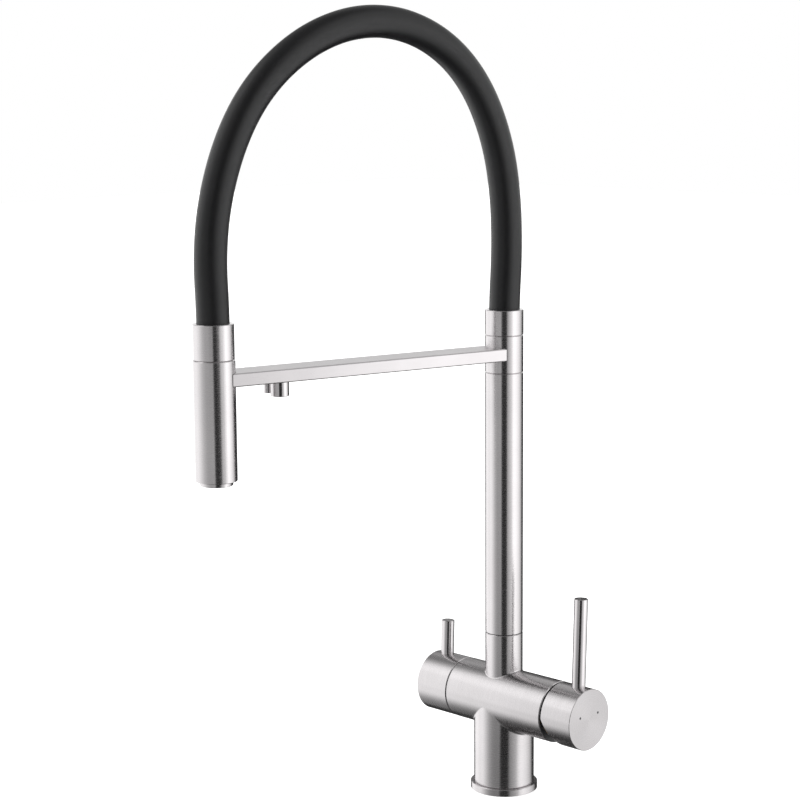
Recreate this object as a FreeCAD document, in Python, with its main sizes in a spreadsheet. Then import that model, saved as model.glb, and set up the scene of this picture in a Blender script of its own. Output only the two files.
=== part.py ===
import FreeCAD, Part
import math
import os
import re
import Sketcher

# Kitchen mixer tap with a filtered-water lever, a swivelling riser with a flat arm, and a spray
# head that parks against the end of the arm under an arched hose.
# The origin is the middle of the base ring on the worktop. Z is up, X runs along the cross
# barrel towards the mixer lever, and the front of the tap looks towards -Y.

# Driving dimensions in millimetres, and angles in degrees
SIZES = {
    # base ring and the gasket under it
    "ring_lip": 2.5,
    "ring_height": 5.0,
    "foot_inset": 1.0,
    "gasket_width": 1.4,
    "gasket_thick": 1.8,
    # upright barrel, cross barrel and neck of the body
    "barrel_dia": 45.0,
    "barrel_wall": 3.5,
    "cross_lip": 0.2,
    "axis_height": 69.5,
    "right_rim": 11.8,
    "left_rim": 21.7,
    "neck_dia": 28.0,
    "neck_wall": 2.0,
    "neck_foot_rise": 1.8,
    "neck_bore_depth": 26.3,
    "edge_break": 0.3,
    "seam_bevel": 0.5,
    "neck_weld_round": 1.0,
    "barrel_weld_round": 2.0,
    # insert in the foot with its sockets
    "insert_height": 24.0,
    "stud_bore": 6.8,
    "stud_depth": 18.0,
    "inlet_bore": 9.0,
    "inlet_depth": 11.0,
    "inlet_wall": 2.3,
    "passage_dia": 6.0,
    "hot_port_drop": 5.5,
    "mixed_port_rise": 9.0,
    "mixed_port_reach": 7.5,
    "mixed_port_dia": 5.2,
    "filter_in_drop": 5.0,
    "filter_out_rise": 6.0,
    "filter_port_dia": 4.6,
    "insert_groove_level": 14.2,
    "insert_groove_width": 2.4,
    "insert_groove_depth": 1.6,
    # mixer cartridge in the right end
    "cartridge_dia": 35.0,
    "cartridge_seat": 16.0,
    "sleeve_margin": 0.5,
    "cartridge_length": 26.0,
    "seal_thick": 1.5,
    "disc_dia": 24.2,
    "disc_thick": 3.0,
    "disc_depth": 8.0,
    "moving_disc_dia": 23.0,
    "turret_dia": 20.0,
    "turret_nose": 8.0,
    "turret_flange": 4.1,
    "stem_slot": 8.0,
    "stem_slot_height": 14.0,
    "pivot_reach": 4.0,
    "pivot_pin_dia": 3.0,
    "nut_gap": 0.5,
    "nut_bore": 24.8,
    "nut_sink": 0.6,
    "glide_ring_thick": 0.3,
    "glide_ring_inset": 0.4,
    # stem and lever cap
    "stem_width": 7.6,
    "stem_height": 6.0,
    "stem_tail": 9.0,
    "cap_inset": 0.1,
    "cap_gap": 1.5,
    "cap_length": 27.2,
    "cap_face": 6.5,
    "cap_hollow": 11.0,
    "cap_wall": 3.6,
    "tilt_relief": 26.0,
    "lever_lean": 2.0,
    "pin_dia": 10.0,
    "pin_sink": 20.0,
    "mixer_pin_setback": 10.7,
    "mixer_pin_top": 87.9,
    "screw_dia": 5.0,
    # filter valve and knob in the left end
    "valve_dia": 22.0,
    "valve_seat": 17.0,
    "valve_collar_dia": 27.0,
    "valve_collar_thick": 2.5,
    "valve_nose_dia": 16.0,
    "valve_nose_length": 7.3,
    "valve_disc_depth": 5.0,
    "valve_disc_thick": 2.5,
    "spindle_dia": 8.0,
    "spindle_flange": 5.7,
    "knob_gap": 0.5,
    "knob_length": 29.8,
    "knob_face": 7.0,
    "knob_hollow": 11.0,
    "filter_pin_dia": 9.8,
    "filter_pin_setback": 10.1,
    "filter_pin_top": 48.5,
    # swivel joint
    "swivel": 14.0,
    "swivel_stop_arc": 201.4,
    "spigot_dia": 20.0,
    "spigot_bore": 13.0,
    "spigot_height": 17.3,
    "bush_height": 4.2,
    "upper_bush_height": 8.3,
    "seal_groove_dia": 17.2,
    "lower_seal_rise": 7.0,
    "upper_seal_rise": 11.2,
    "stop_rise": 15.7,
    "stop_groove_height": 3.6,
    "stop_groove_depth": 2.1,
    "stop_tip_dia": 2.8,
    # riser
    "riser_dia": 28.0,
    "riser_wall": 1.6,
    "riser_length": 196.2,
    "collar_height": 27.5,
    "ferrule_dia": 28.2,
    "ferrule_height": 18.5,
    "ferrule_web": 2.0,
    "manifold_sink": 10.5,
    "filter_tube_dia": 6.4,
    "filter_tube_bore": 4.4,
    "tube_socket_depth": 6.0,
    "mixed_offset": 7.6,
    "tail_shoulder_dia": 18.0,
    "tail_dia": 9.4,
    "tail_bore": 6.4,
    "tail_height": 15.0,
    # arm
    "arm_width": 25.0,
    "arm_thick": 9.2,
    "arm_bevel": 0.7,
    "arm_rise": 13.9,
    "arm_reach": 236.0,
    "dock_gap": 0.3,
    "magnet_dia": 8.0,
    "magnet_thick": 5.8,
    # filtered-water outlet under the arm
    "nozzle_place": 186.3,
    "nozzle_dia": 13.0,
    "nozzle_drop": 10.8,
    "nozzle_shank": 8.8,
    "nozzle_shank_length": 3.8,
    "nozzle_bore": 5.2,
    "nozzle_cup": 9.8,
    "nozzle_cup_depth": 4.5,
    "strainer_thick": 3.9,
    "strainer_hole": 1.1,
    "lock_screw_place": 190.8,
    "lock_screw_offset": 8.6,
    "lock_screw_dia": 6.0,
    "lock_screw_drop": 9.4,
    "lock_screw_shank": 3.0,
    # hose
    "hose_rise": 223.5,
    "hose_dia": 22.5,
    "hose_bore": 16.4,
    "inner_hose_dia": 15.6,
    "inner_hose_bore": 9.6,
    # spray head
    "head_dia": 29.0,
    "head_length": 83.0,
    "head_wall": 2.1,
    "head_lip": 8.0,
    "head_ferrule_height": 24.5,
    "core_rise": 9.0,
    "valve_pocket_dia": 12.0,
    "valve_pocket_height": 48.0,
    "check_valve_height": 14.0,
    "head_seal_rise": 17.2,
    "head_seal_section": 1.2,
    "plate_depth": 8.5,
    "plate_thick": 3.1,
    "aerator_dia": 22.9,
    "aerator_drop": 3.0,
    "aerator_bore": 18.4,
    "spray_disc_thick": 8.8,
    "spray_hole": 1.8,
    # clearances: a shaft that turns, flat faces that turn, parts that are only pushed in
    "running_fit": 0.06,
    "face_gap": 0.1,
    "seam_gap": 0.4,
    "push_fit": 0.05,
}

# Sizes and places that follow from those, each one a step on from another
PLACES = {
    # diameters: the barrel sets the ring round it, the insert in it, the cross barrel, the cap and the nut
    "ring_dia": "=barrel_dia + 2 * ring_lip",
    "foot_dia": "=barrel_dia - 2 * foot_inset",
    "insert_dia": "=barrel_dia - 2 * barrel_wall",
    "inlet_reach": "=insert_dia / 2 - inlet_bore / 2 - inlet_wall",
    "cross_dia": "=barrel_dia + 2 * cross_lip",
    "cap_dia": "=cross_dia - 2 * cap_inset",
    "nut_dia": "=cap_dia - 2 * cap_wall - 2 * nut_gap",
    # heights above the worktop
    "neck_bore_floor": "=axis_height + cross_dia / 2 + neck_foot_rise",
    "neck_top": "=neck_bore_floor + neck_bore_depth",
    "lower_seal_level": "=neck_bore_floor + lower_seal_rise",
    "upper_seal_level": "=neck_bore_floor + upper_seal_rise",
    "stop_level": "=neck_bore_floor + stop_rise",
    "riser_top": "=neck_top + riser_length",
    "manifold_start": "=riser_top - manifold_sink",
    "arm_level": "=riser_top + arm_rise",
    "collar_top": "=riser_top + collar_height",
    "ferrule_top": "=collar_top + ferrule_height",
    "tail_top": "=collar_top + ferrule_web + tail_height",
    "head_ferrule_top": "=collar_top + head_ferrule_height",
    "head_bottom": "=collar_top - head_length",
    "core_start": "=head_bottom + core_rise",
    "head_seal_level": "=core_start + head_seal_rise",
    "valve_pocket_top": "=core_start + valve_pocket_height",
    # places out from the middle along the right half of the cross barrel
    "sleeve_start": "=barrel_dia / 2 + barrel_weld_round + sleeve_margin",
    "disc_start": "=cartridge_seat + disc_depth",
    "cartridge_front": "=cartridge_seat + cartridge_length",
    "tilt_pivot": "=cartridge_front + pivot_reach",
    "turret_front": "=cartridge_front + turret_nose",
    "stem_back": "=tilt_pivot - stem_tail",
    "cross_right": "=cartridge_front + right_rim",
    "nut_front": "=cross_right - nut_sink",
    "cap_start": "=cross_right + cap_gap",
    "cap_end": "=cap_start + cap_length",
    "stem_end": "=cap_end - cap_face",
    "mixer_pin_place": "=cap_end - mixer_pin_setback",
    # places out from the middle along its left half
    "valve_disc_start": "=valve_seat + valve_disc_depth",
    "cross_left": "=valve_seat + left_rim",
    "valve_nose": "=cross_left + valve_nose_length",
    "knob_start": "=cross_left + knob_gap",
    "knob_end": "=knob_start + knob_length",
    "spindle_end": "=knob_end - knob_face",
    "filter_pin_place": "=knob_end - filter_pin_setback",
}

doc = FreeCAD.newDocument("kitchen_mixer_tap")
sheet = doc.addObject("Spreadsheet::Sheet", "Sizes")
NAMES = {**SIZES, **PLACES}
for row, (alias, value) in enumerate(NAMES.items(), start=1):
    sheet.set(f"A{row}", alias.replace("_", " "))
    sheet.set(f"B{row}", str(value))
    sheet.setAlias(f"B{row}", alias)
doc.recompute()


# Helpers that tie geometry to the sheet

def tied(text):
    """'cap_dia / 2' becomes 'Sizes.cap_dia / 2'."""
    return re.sub(r"[a-z]+(_[a-z]+)*", lambda word: "Sizes." * (word.group() in NAMES) + word.group(), text)


def number(text):
    """What a formula comes to with the present sizes."""
    return float(sheet.evalExpression(tied(text)))


def tie(thing, **formulas):
    """Sets properties of an object from formulas on the sheet; Base_x stands for Placement.Base.x."""
    for name, text in formulas.items():
        path = name.replace("Base_", "Placement.Base.").replace("Turn_", "Placement.Rotation.")
        thing.setExpression(path, tied(text))
    return thing


# How a shape that is built along Z is turned to lie along another axis
ALONG = {
    "Z": FreeCAD.Rotation(),
    "X": FreeCAD.Rotation(FreeCAD.Vector(0, 1, 0), 90),
    "Y": FreeCAD.Rotation(FreeCAD.Vector(1, 0, 0), -90),
}


def lay(thing, axis, at):
    """Turns an object that is built along Z to lie along axis, with its start at a place from the sheet."""
    thing.Placement = FreeCAD.Placement(FreeCAD.Vector(), ALONG[axis])
    return tie(thing, Base_x=at[0], Base_y=at[1], Base_z=at[2])


def round_bar(dia, length, at, axis="Z"):
    """A plain cylinder from a point, towards the positive end of its axis."""
    bar = doc.addObject("Part::Cylinder", "round_bar")
    tie(bar, Radius=f"({dia}) / 2", Height=length)
    return lay(bar, axis, at)


def block(corner, size):
    """A plain box from its lowest corner."""
    box = doc.addObject("Part::Box", "block")
    tie(box, Length=size[0], Width=size[1], Height=size[2])
    return tie(box, Base_x=corner[0], Base_y=corner[1], Base_z=corner[2])


def sketched(body, plane_name, name):
    """An empty sketch on one of a body's own origin planes."""
    plane = [feature for feature in body.Origin.OriginFeatures if feature.Role == plane_name][0]
    sketch = body.newObject("Sketcher::SketchObject", name)
    sketch.AttachmentSupport = (plane, [""])
    sketch.MapMode = "FlatFace"
    return sketch


def draw_outline(sketch, corners):
    """A closed outline whose corners are all held by formulas on the sheet."""
    points = [FreeCAD.Vector(number(across), number(up), 0) for across, up in corners]
    count = len(points)
    for place in range(count):
        sketch.addGeometry(Part.LineSegment(points[place], points[(place + 1) % count]), False)
    for place in range(count):
        sketch.addConstraint(Sketcher.Constraint("Coincident", place, 2, (place + 1) % count, 1))
    for place, corner in enumerate(corners):
        for kind, text, line in (("DistanceX", corner[0], -2), ("DistanceY", corner[1], -1)):
            if text == "0":
                sketch.addConstraint(Sketcher.Constraint("PointOnObject", place, 1, line))
                continue
            found = sketch.addConstraint(Sketcher.Constraint(kind, -1, 1, place, 1, number(text)))
            sketch.setExpression(f"Constraints[{found}]", tied(text))


def turned(label, corners, axis="Z", at=("0", "0", "0")):
    """A turned piece: an outline of (radius, place along the axis) corners, turned about that axis."""
    body = doc.addObject("PartDesign::Body", label)
    body.Label = label
    sketch = sketched(body, "XZ_Plane", label + "_outline")
    draw_outline(sketch, corners)
    turn = body.newObject("PartDesign::Revolution", label + "_turn")
    turn.Profile = sketch
    turn.ReferenceAxis = (sketch, ["V_Axis"])
    turn.Angle = 360
    return lay(body, axis, at)


def tube(label, dia, bore, start, end, axis="Z", at=("0", "0", "0")):
    """A turned ring or tube with square ends."""
    inner, outer = f"({bore}) / 2", f"({dia}) / 2"
    return turned(label, [(inner, start), (outer, start), (outer, end), (inner, end)], axis, at)


def bevelled_tube(label, dia, bore, start, end):
    """An upright tube with bevelled outer edges, so that a fine groove shows where two of them meet."""
    inner, outer = f"({bore}) / 2", f"({dia}) / 2"
    return turned(label, [
        (inner, start),
        (f"{outer} - seam_bevel", start),
        (outer, f"{start} + seam_bevel"),
        (outer, f"{end} - seam_bevel"),
        (f"{outer} - seam_bevel", end),
        (inner, end),
    ])


def ring_seal(label, inner_dia, outer_dia, level):
    """A rubber ring with its middle at a level, pressed flat where it meets its groove and its bore."""
    inner, outer = f"({inner_dia}) / 2", f"({outer_dia}) / 2"
    half = f"(({outer_dia}) - ({inner_dia})) / 4"
    flat = f"{half} / 2.4"
    return turned(label, [
        (inner, f"0 - {flat}"),
        (f"{inner} + {half} - {flat}", f"0 - {half}"),
        (f"{inner} + {half} + {flat}", f"0 - {half}"),
        (outer, f"0 - {flat}"),
        (outer, flat),
        (f"{inner} + {half} + {flat}", half),
        (f"{inner} + {half} - {flat}", half),
        (inner, flat),
    ], "Z", ("0", "0", level))


def extruded(label, corners, length):
    """A bar with an outline of (X, Z) corners that runs from Y = 0 towards -Y."""
    body = doc.addObject("PartDesign::Body", label)
    body.Label = label
    sketch = sketched(body, "XZ_Plane", label + "_outline")
    draw_outline(sketch, corners)
    pad = body.newObject("PartDesign::Pad", label + "_pad")
    pad.Profile = sketch
    tie(pad, Length=length)
    return body


def pierced(body, label, dia, across, count):
    """Cuts a ring of round holes right through a turned body, count of them at a radius."""
    sketch = sketched(body, "XY_Plane", label + "_circle")
    centre = FreeCAD.Vector(number(across), 0, 0)
    sketch.addGeometry(Part.Circle(centre, FreeCAD.Vector(0, 0, 1), number(dia) / 2))
    held = [
        sketch.addConstraint(Sketcher.Constraint("DistanceX", -1, 1, 0, 3, number(across))),
        sketch.addConstraint(Sketcher.Constraint("Diameter", 0, number(dia))),
    ]
    sketch.addConstraint(Sketcher.Constraint("PointOnObject", 0, 3, -1))
    for place, text in zip(held, (across, dia)):
        sketch.setExpression(f"Constraints[{place}]", tied(text))
    pocket = body.newObject("PartDesign::Pocket", label + "_pocket")
    pocket.Profile = sketch
    pocket.Type = "ThroughAll"
    pocket.Midplane = True
    doc.recompute()
    ring = body.newObject("PartDesign::PolarPattern", label + "_ring")
    ring.Originals = [pocket]
    ring.Axis = (sketch, ["N_Axis"])
    ring.Angle = 360
    ring.Occurrences = count
    body.Tip = ring
    return body


def joined(label, pieces):
    """One solid from several that overlap."""
    whole = doc.addObject("Part::MultiFuse", label)
    whole.Label = label
    whole.Shapes = pieces
    whole.Refine = True
    return whole


def grouped(label, pieces):
    """Separate like solids kept as one sub-part."""
    group = doc.addObject("Part::Compound", label)
    group.Label = label
    group.Links = pieces
    return group


def bored(label, stock, tools):
    """The stock with every tool cut out of it."""
    result = doc.addObject("Part::Cut", label)
    result.Label = label
    result.Base = stock
    result.Tool = tools[0] if len(tools) == 1 else joined(label + "_tools", tools)
    return result


def turn_back(thing, axis, angle):
    """Turns a finished piece backwards about an axis through its own origin."""
    thing.Placement = FreeCAD.Placement(FreeCAD.Vector(), FreeCAD.Rotation(axis * -1, number(angle)))
    return tie(thing, Turn_Angle=angle)


def rest_at_swivel(thing):
    """Turns a finished piece of the spout, built towards -Y, to where the arm points at rest."""
    return turn_back(thing, FreeCAD.Vector(0, 0, 1), "swivel")


def rest_at_head(thing):
    """Moves a finished piece of the spray head, built round the Z axis, to the end of the arm."""
    rest_at_swivel(thing)
    return tie(thing, Base_x="0 - arm_reach * sin(swivel)", Base_y="0 - arm_reach * cos(swivel)")


def rest_on_cross(thing):
    """Lifts a finished piece, built round the X axis, to the cross barrel."""
    return tie(thing, Base_z="axis_height")


def rest_at_lean(thing):
    """Lifts a finished lever piece to the cross barrel, leaning back a little as levers stand."""
    turn_back(thing, FreeCAD.Vector(1, 0, 0), "lever_lean")
    return rest_on_cross(thing)


pieces = []


def keep(thing):
    """Notes a finished sub-part, whose label names its file."""
    pieces.append(thing)
    return thing


# Base ring and gasket

gasket_in = "barrel_dia / 2"
gasket_out = "barrel_dia / 2 + gasket_width"
keep(turned("base_ring", [
    ("foot_dia / 2", "0"),
    (gasket_in, "0"),
    (gasket_in, "gasket_thick"),
    (gasket_out, "gasket_thick"),
    (gasket_out, "0"),
    ("ring_dia / 2", "0"),
    ("ring_dia / 2", "ring_height - edge_break"),
    ("ring_dia / 2 - edge_break", "ring_height"),
    ("foot_dia / 2", "ring_height"),
]))
keep(turned("base_gasket", [
    (gasket_in + " + push_fit", "0"),
    (gasket_out + " - push_fit", "0"),
    (gasket_out + " - push_fit", "gasket_thick"),
    (gasket_in + " + push_fit", "gasket_thick"),
]))

# Foot of the barrel: a sleeve that stands in the base ring and holds the insert

keep(turned("barrel_foot", [
    ("insert_dia / 2", "0"),
    ("foot_dia / 2", "0"),
    ("foot_dia / 2", "ring_height"),
    ("barrel_dia / 2 - seam_bevel", "ring_height"),
    ("barrel_dia / 2", "ring_height + seam_bevel"),
    ("barrel_dia / 2", "insert_height"),
    ("insert_dia / 2", "insert_height"),
]))

# Body: barrel and middle of the cross barrel in one piece with the foot of the neck, with the water ways.
# The foot, the neck and the two ends of the cross barrel are welded on and ground flush

barrel = turned("barrel_stock", [
    ("0", "insert_height"),
    ("barrel_dia / 2", "insert_height"),
    ("barrel_dia / 2", "axis_height"),
    ("0", "axis_height"),
])
cross = turned("cross_stock", [
    ("0", "0 - sleeve_start"),
    ("cross_dia / 2", "0 - sleeve_start"),
    ("cross_dia / 2", "sleeve_start"),
    ("0", "sleeve_start"),
], "X", ("0", "0", "axis_height"))
neck = turned("neck_foot_stock", [
    ("0", "axis_height"),
    ("neck_dia / 2", "axis_height"),
    ("neck_dia / 2", "neck_bore_floor"),
    ("0", "neck_bore_floor"),
])
body_stock = joined("body_stock", [barrel, cross, neck])
doc.recompute()


def seam_edges(shape, dia, above):
    """The edges where the neck (above) or the barrel (below) of that diameter runs into the cross barrel."""
    found = []
    for place, edge in enumerate(shape.Edges, start=1):
        box = edge.BoundBox
        if isinstance(edge.Curve, Part.Line) or box.ZLength < dia / 50:
            continue
        if (box.Center.z > number("axis_height")) != above:
            continue
        middle = 0.5 * (edge.FirstParameter + edge.LastParameter)
        spots = [edge.valueAt(edge.FirstParameter), edge.valueAt(middle)]
        if all(abs(math.hypot(spot.x, spot.y) - dia / 2) < dia / 1000 for spot in spots):
            found.append(place)
    return found


weld = doc.addObject("Part::Fillet", "welds")
weld.Base = body_stock
neck_seam = seam_edges(body_stock.Shape, number("neck_dia"), True)
barrel_seam = seam_edges(body_stock.Shape, number("barrel_dia"), False)
neck_round, barrel_round = number("neck_weld_round"), number("barrel_weld_round")
weld.Edges = [(place, neck_round, neck_round) for place in neck_seam] + [
    (place, barrel_round, barrel_round) for place in barrel_seam]
doc.recompute()

# Places of the water ways
inlet_side = "inlet_reach * sin(45)"
hot_level = "axis_height - hot_port_drop"
mixed_level = "axis_height + mixed_port_rise"
filter_in_level = "axis_height - filter_in_drop"
filter_out_level = "axis_height + filter_out_rise"
socket_floor = "neck_bore_floor - tube_socket_depth"

ways = [
    round_bar("cartridge_dia + 2 * push_fit", "sleeve_start - cartridge_seat + 1",
              ("cartridge_seat", "0", "axis_height"), "X"),
    round_bar("valve_dia + 2 * push_fit", "sleeve_start - valve_seat + 1",
              ("0 - sleeve_start - 1", "0", "axis_height"), "X"),
    round_bar("filter_tube_dia + 2 * running_fit", "tube_socket_depth + 1", ("0", "0", socket_floor)),
    # filtered water in from below and out to the middle of the neck
    round_bar("passage_dia", "axis_height - filter_in_drop - insert_height + 1",
              ("0 - inlet_reach", "0", "insert_height - 1")),
    round_bar("filter_port_dia", "valve_seat + 1 - inlet_reach",
              ("0 - valve_seat - 1", "0", filter_in_level), "X"),
    round_bar("filter_port_dia", "valve_seat + 1 + filter_port_dia / 2",
              ("0 - valve_seat - 1", "0", filter_out_level), "X"),
    round_bar("filter_port_dia", "neck_bore_floor - tube_socket_depth - axis_height - filter_out_rise + 1",
              ("0", "0", filter_out_level)),
    # mixed water from the cartridge up into the neck
    round_bar("mixed_port_dia", "cartridge_seat + 1 - mixed_port_reach + mixed_port_dia / 2",
              ("mixed_port_reach - mixed_port_dia / 2", "0", mixed_level), "X"),
    round_bar("mixed_port_dia", "neck_bore_floor - axis_height - mixed_port_rise + 1",
              ("mixed_port_reach", "0", mixed_level)),
]
for side in ("", "0 - "):
    ways.append(round_bar("passage_dia", "axis_height - hot_port_drop - insert_height + 1",
                          (inlet_side, side + inlet_side, "insert_height - 1")))
    ways.append(round_bar("passage_dia", f"cartridge_seat + 1 - {inlet_side}",
                          (inlet_side, side + inlet_side, hot_level), "X"))
keep(bored("tap_body", weld, ways))

# Ends of the cross barrel: the right sleeve holds the cartridge and its nut, the left one the filter valve

keep(turned("cartridge_sleeve", [
    ("cartridge_dia / 2 + push_fit", "sleeve_start"),
    ("cross_dia / 2", "sleeve_start"),
    ("cross_dia / 2", "cross_right - seam_bevel"),
    ("cross_dia / 2 - seam_bevel", "cross_right"),
    ("nut_dia / 2", "cross_right"),
    ("nut_dia / 2", "cartridge_front"),
    ("cartridge_dia / 2 + push_fit", "cartridge_front"),
], "X", ("0", "0", "axis_height")))
keep(turned("valve_sleeve", [
    ("valve_dia / 2 + push_fit", "0 - sleeve_start"),
    ("cross_dia / 2", "0 - sleeve_start"),
    ("cross_dia / 2", "seam_bevel - cross_left"),
    ("cross_dia / 2 - seam_bevel", "0 - cross_left"),
    ("valve_dia / 2 + push_fit", "0 - cross_left"),
], "X", ("0", "0", "axis_height")))

# Neck: a sleeve on the body that holds the swivel bushes, with a threaded hole at the back for the stop

neck_stock = turned("neck_stock", [
    ("neck_dia / 2 - neck_wall", "neck_bore_floor"),
    ("neck_dia / 2", "neck_bore_floor"),
    ("neck_dia / 2", "neck_top - seam_bevel"),
    ("neck_dia / 2 - seam_bevel", "neck_top"),
    ("neck_dia / 2 - neck_wall", "neck_top"),
])
keep(bored("neck_sleeve", neck_stock, [
    round_bar("screw_dia", "neck_wall + 2", ("0", "neck_dia / 2 - neck_wall - 1", "stop_level"), "Y"),
]))

# Insert that closes the foot and takes the fixing stud and the three supply hoses

groove_low = "insert_groove_level - insert_groove_width / 2"
groove_high = "insert_groove_level + insert_groove_width / 2"
groove_radius = "insert_dia / 2 - insert_groove_depth"
insert_stock = turned("insert_stock", [
    ("0", "0"),
    ("insert_dia / 2 - push_fit", "0"),
    ("insert_dia / 2 - push_fit", groove_low),
    (groove_radius, groove_low),
    (groove_radius, groove_high),
    ("insert_dia / 2 - push_fit", groove_high),
    ("insert_dia / 2 - push_fit", "insert_height"),
    ("0", "insert_height"),
])
insert_holes = [round_bar("stud_bore", "stud_depth", ("0", "0", "0"))]
for across, aside in ((inlet_side, inlet_side), (inlet_side, "0 - " + inlet_side), ("0 - inlet_reach", "0")):
    insert_holes.append(round_bar("inlet_bore", "inlet_depth", (across, aside, "0")))
    insert_holes.append(round_bar("passage_dia", "insert_height - inlet_depth + 2",
                                  (across, aside, "inlet_depth - 1")))
keep(bored("base_insert", insert_stock, insert_holes))
keep(ring_seal("insert_seal", "insert_dia - 2 * insert_groove_depth", "insert_dia", "insert_groove_level"))

# Mixer cartridge: seals, housing, fixed disc and the nut that holds it in

ports = [
    ("0 - hot_port_drop", inlet_side, "passage_dia"),
    ("0 - hot_port_drop", "0 - " + inlet_side, "passage_dia"),
    ("mixed_port_rise", "0", "mixed_port_dia"),
]
housing_start = "cartridge_seat + seal_thick"
cavity_end = "disc_start + 2 * disc_thick + turret_flange + 2 * face_gap"
housing = turned("cartridge_stock", [
    ("0", housing_start),
    ("cartridge_dia / 2", housing_start),
    ("cartridge_dia / 2", "cartridge_front"),
    ("turret_dia / 2 + running_fit", "cartridge_front"),
    ("turret_dia / 2 + running_fit", cavity_end),
    ("disc_dia / 2 + face_gap", cavity_end),
    ("disc_dia / 2 + face_gap", "disc_start"),
    ("0", "disc_start"),
], "X")
fixed_disc = round_bar("disc_dia", "disc_thick", ("disc_start", "0", "0"), "X")
port_seals = []
housing_ports = []
disc_ports = []
for rise, aside, dia in ports:
    housing_ports.append(round_bar(dia, "disc_start - cartridge_seat + 1",
                                   ("cartridge_seat - 0.5", aside, rise), "X"))
    disc_ports.append(round_bar(dia, "disc_thick + 2", ("disc_start - 1", aside, rise), "X"))
    port_seals.append(tube("port_seal", dia + " + 2.8", dia + " + 0.2", "0", "seal_thick", "X",
                           ("cartridge_seat", aside, rise)))
keep(rest_on_cross(grouped("cartridge_seals", port_seals)))
keep(rest_on_cross(bored("mixer_cartridge", housing, housing_ports)))
keep(rest_on_cross(bored("mixer_fixed_disc", fixed_disc, disc_ports)))
keep(turned("mixer_nut", [
    ("nut_bore / 2", "cartridge_front"),
    ("nut_dia / 2", "cartridge_front"),
    ("nut_dia / 2", "nut_front - 1.7"),
    ("nut_dia / 2 - 2", "nut_front"),
    ("nut_bore / 2", "nut_front"),
], "X", ("0", "0", "axis_height")))

# Dark glide ring on the end of the body, which the lever cap runs past
keep(tube("cap_glide_ring", "cap_dia - 2 * glide_ring_inset", "nut_dia + glide_ring_inset", "cross_right",
          "cross_right + glide_ring_thick", "X", ("0", "0", "axis_height")))

# Mixer turret: turns in the cartridge for hot and cold, and carries the pin that the stem tilts on

keep(rest_at_lean(grouped("mixer_moving_disc", [round_bar(
    "moving_disc_dia", "disc_thick", ("disc_start + disc_thick + face_gap", "0", "0"), "X")])))
turret_start = "disc_start + 2 * disc_thick + face_gap"
turret_stock = turned("turret_stock", [
    ("0", turret_start),
    ("disc_dia / 2", turret_start),
    ("disc_dia / 2", turret_start + " + turret_flange"),
    ("turret_dia / 2", turret_start + " + turret_flange"),
    ("turret_dia / 2", "turret_front"),
    ("0", "turret_front"),
], "X")
slot_floor = "stem_back - 4"
keep(rest_at_lean(bored("mixer_turret", turret_stock, [
    block((slot_floor, "0 - stem_slot / 2", "0 - stem_slot_height / 2"),
          ("turret_front - stem_back + 5", "stem_slot", "stem_slot_height")),
    round_bar("pivot_pin_dia", "turret_dia + 2", ("tilt_pivot", "0 - turret_dia / 2 - 1", "0"), "Y"),
])))
keep(rest_at_lean(grouped("stem_pin", [round_bar(
    "pivot_pin_dia", "turret_dia - 0.8", ("tilt_pivot", "0.4 - turret_dia / 2", "0"), "Y")])))

# Mixer lever: flat stem, cap with its relief, upright pin on a stud, and the grub screw below

pin_floor = "pin_sink"
keep(rest_at_lean(bored("mixer_stem", block(
    ("stem_back", "0 - stem_width / 2", "0 - stem_height / 2"),
    ("stem_end - stem_back", "stem_width", "stem_height")),
    [round_bar("pivot_pin_dia + 2 * running_fit", "stem_width + 2",
               ("tilt_pivot", "0 - stem_width / 2 - 1", "0"), "Y")])))
cap_stock = turned("mixer_cap_stock", [
    ("cap_dia / 2 - cap_wall", "cap_start"),
    ("cap_dia / 2 - edge_break", "cap_start"),
    ("cap_dia / 2", "cap_start + edge_break"),
    ("cap_dia / 2", "cap_end - edge_break"),
    ("cap_dia / 2 - edge_break", "cap_end"),
    ("0", "cap_end"),
    ("0", "cap_start + cap_hollow"),
    ("cap_dia / 2 - cap_wall", "cap_start + cap_hollow"),
], "X")
relief = block(("0 - cap_dia", "0 - cap_dia", "0 - 2 * cap_dia"), ("cap_dia", "2 * cap_dia", "2 * cap_dia"))
relief_side = turn_back(grouped("relief_side", [relief]), FreeCAD.Vector(0, 1, 0), "tilt_relief")
tie(relief_side, Base_x="cap_start")
keep(rest_at_lean(bored("mixer_cap", cap_stock, [
    relief_side,
    block(("cap_start + cap_hollow - 1", "0 - stem_width / 2 - push_fit", "0 - stem_height / 2 - push_fit"),
          ("stem_end - cap_start - cap_hollow + 1", "stem_width + 2 * push_fit",
           "stem_height + 2 * push_fit")),
    round_bar("pin_dia", "cap_dia / 2", ("mixer_pin_place", "0", pin_floor)),
    round_bar("screw_dia", "cap_dia / 2", ("mixer_pin_place", "0", "0")),
    round_bar("screw_dia", "cap_dia", ("stem_end - 2", "0", "0 - cap_dia")),
])))


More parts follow.
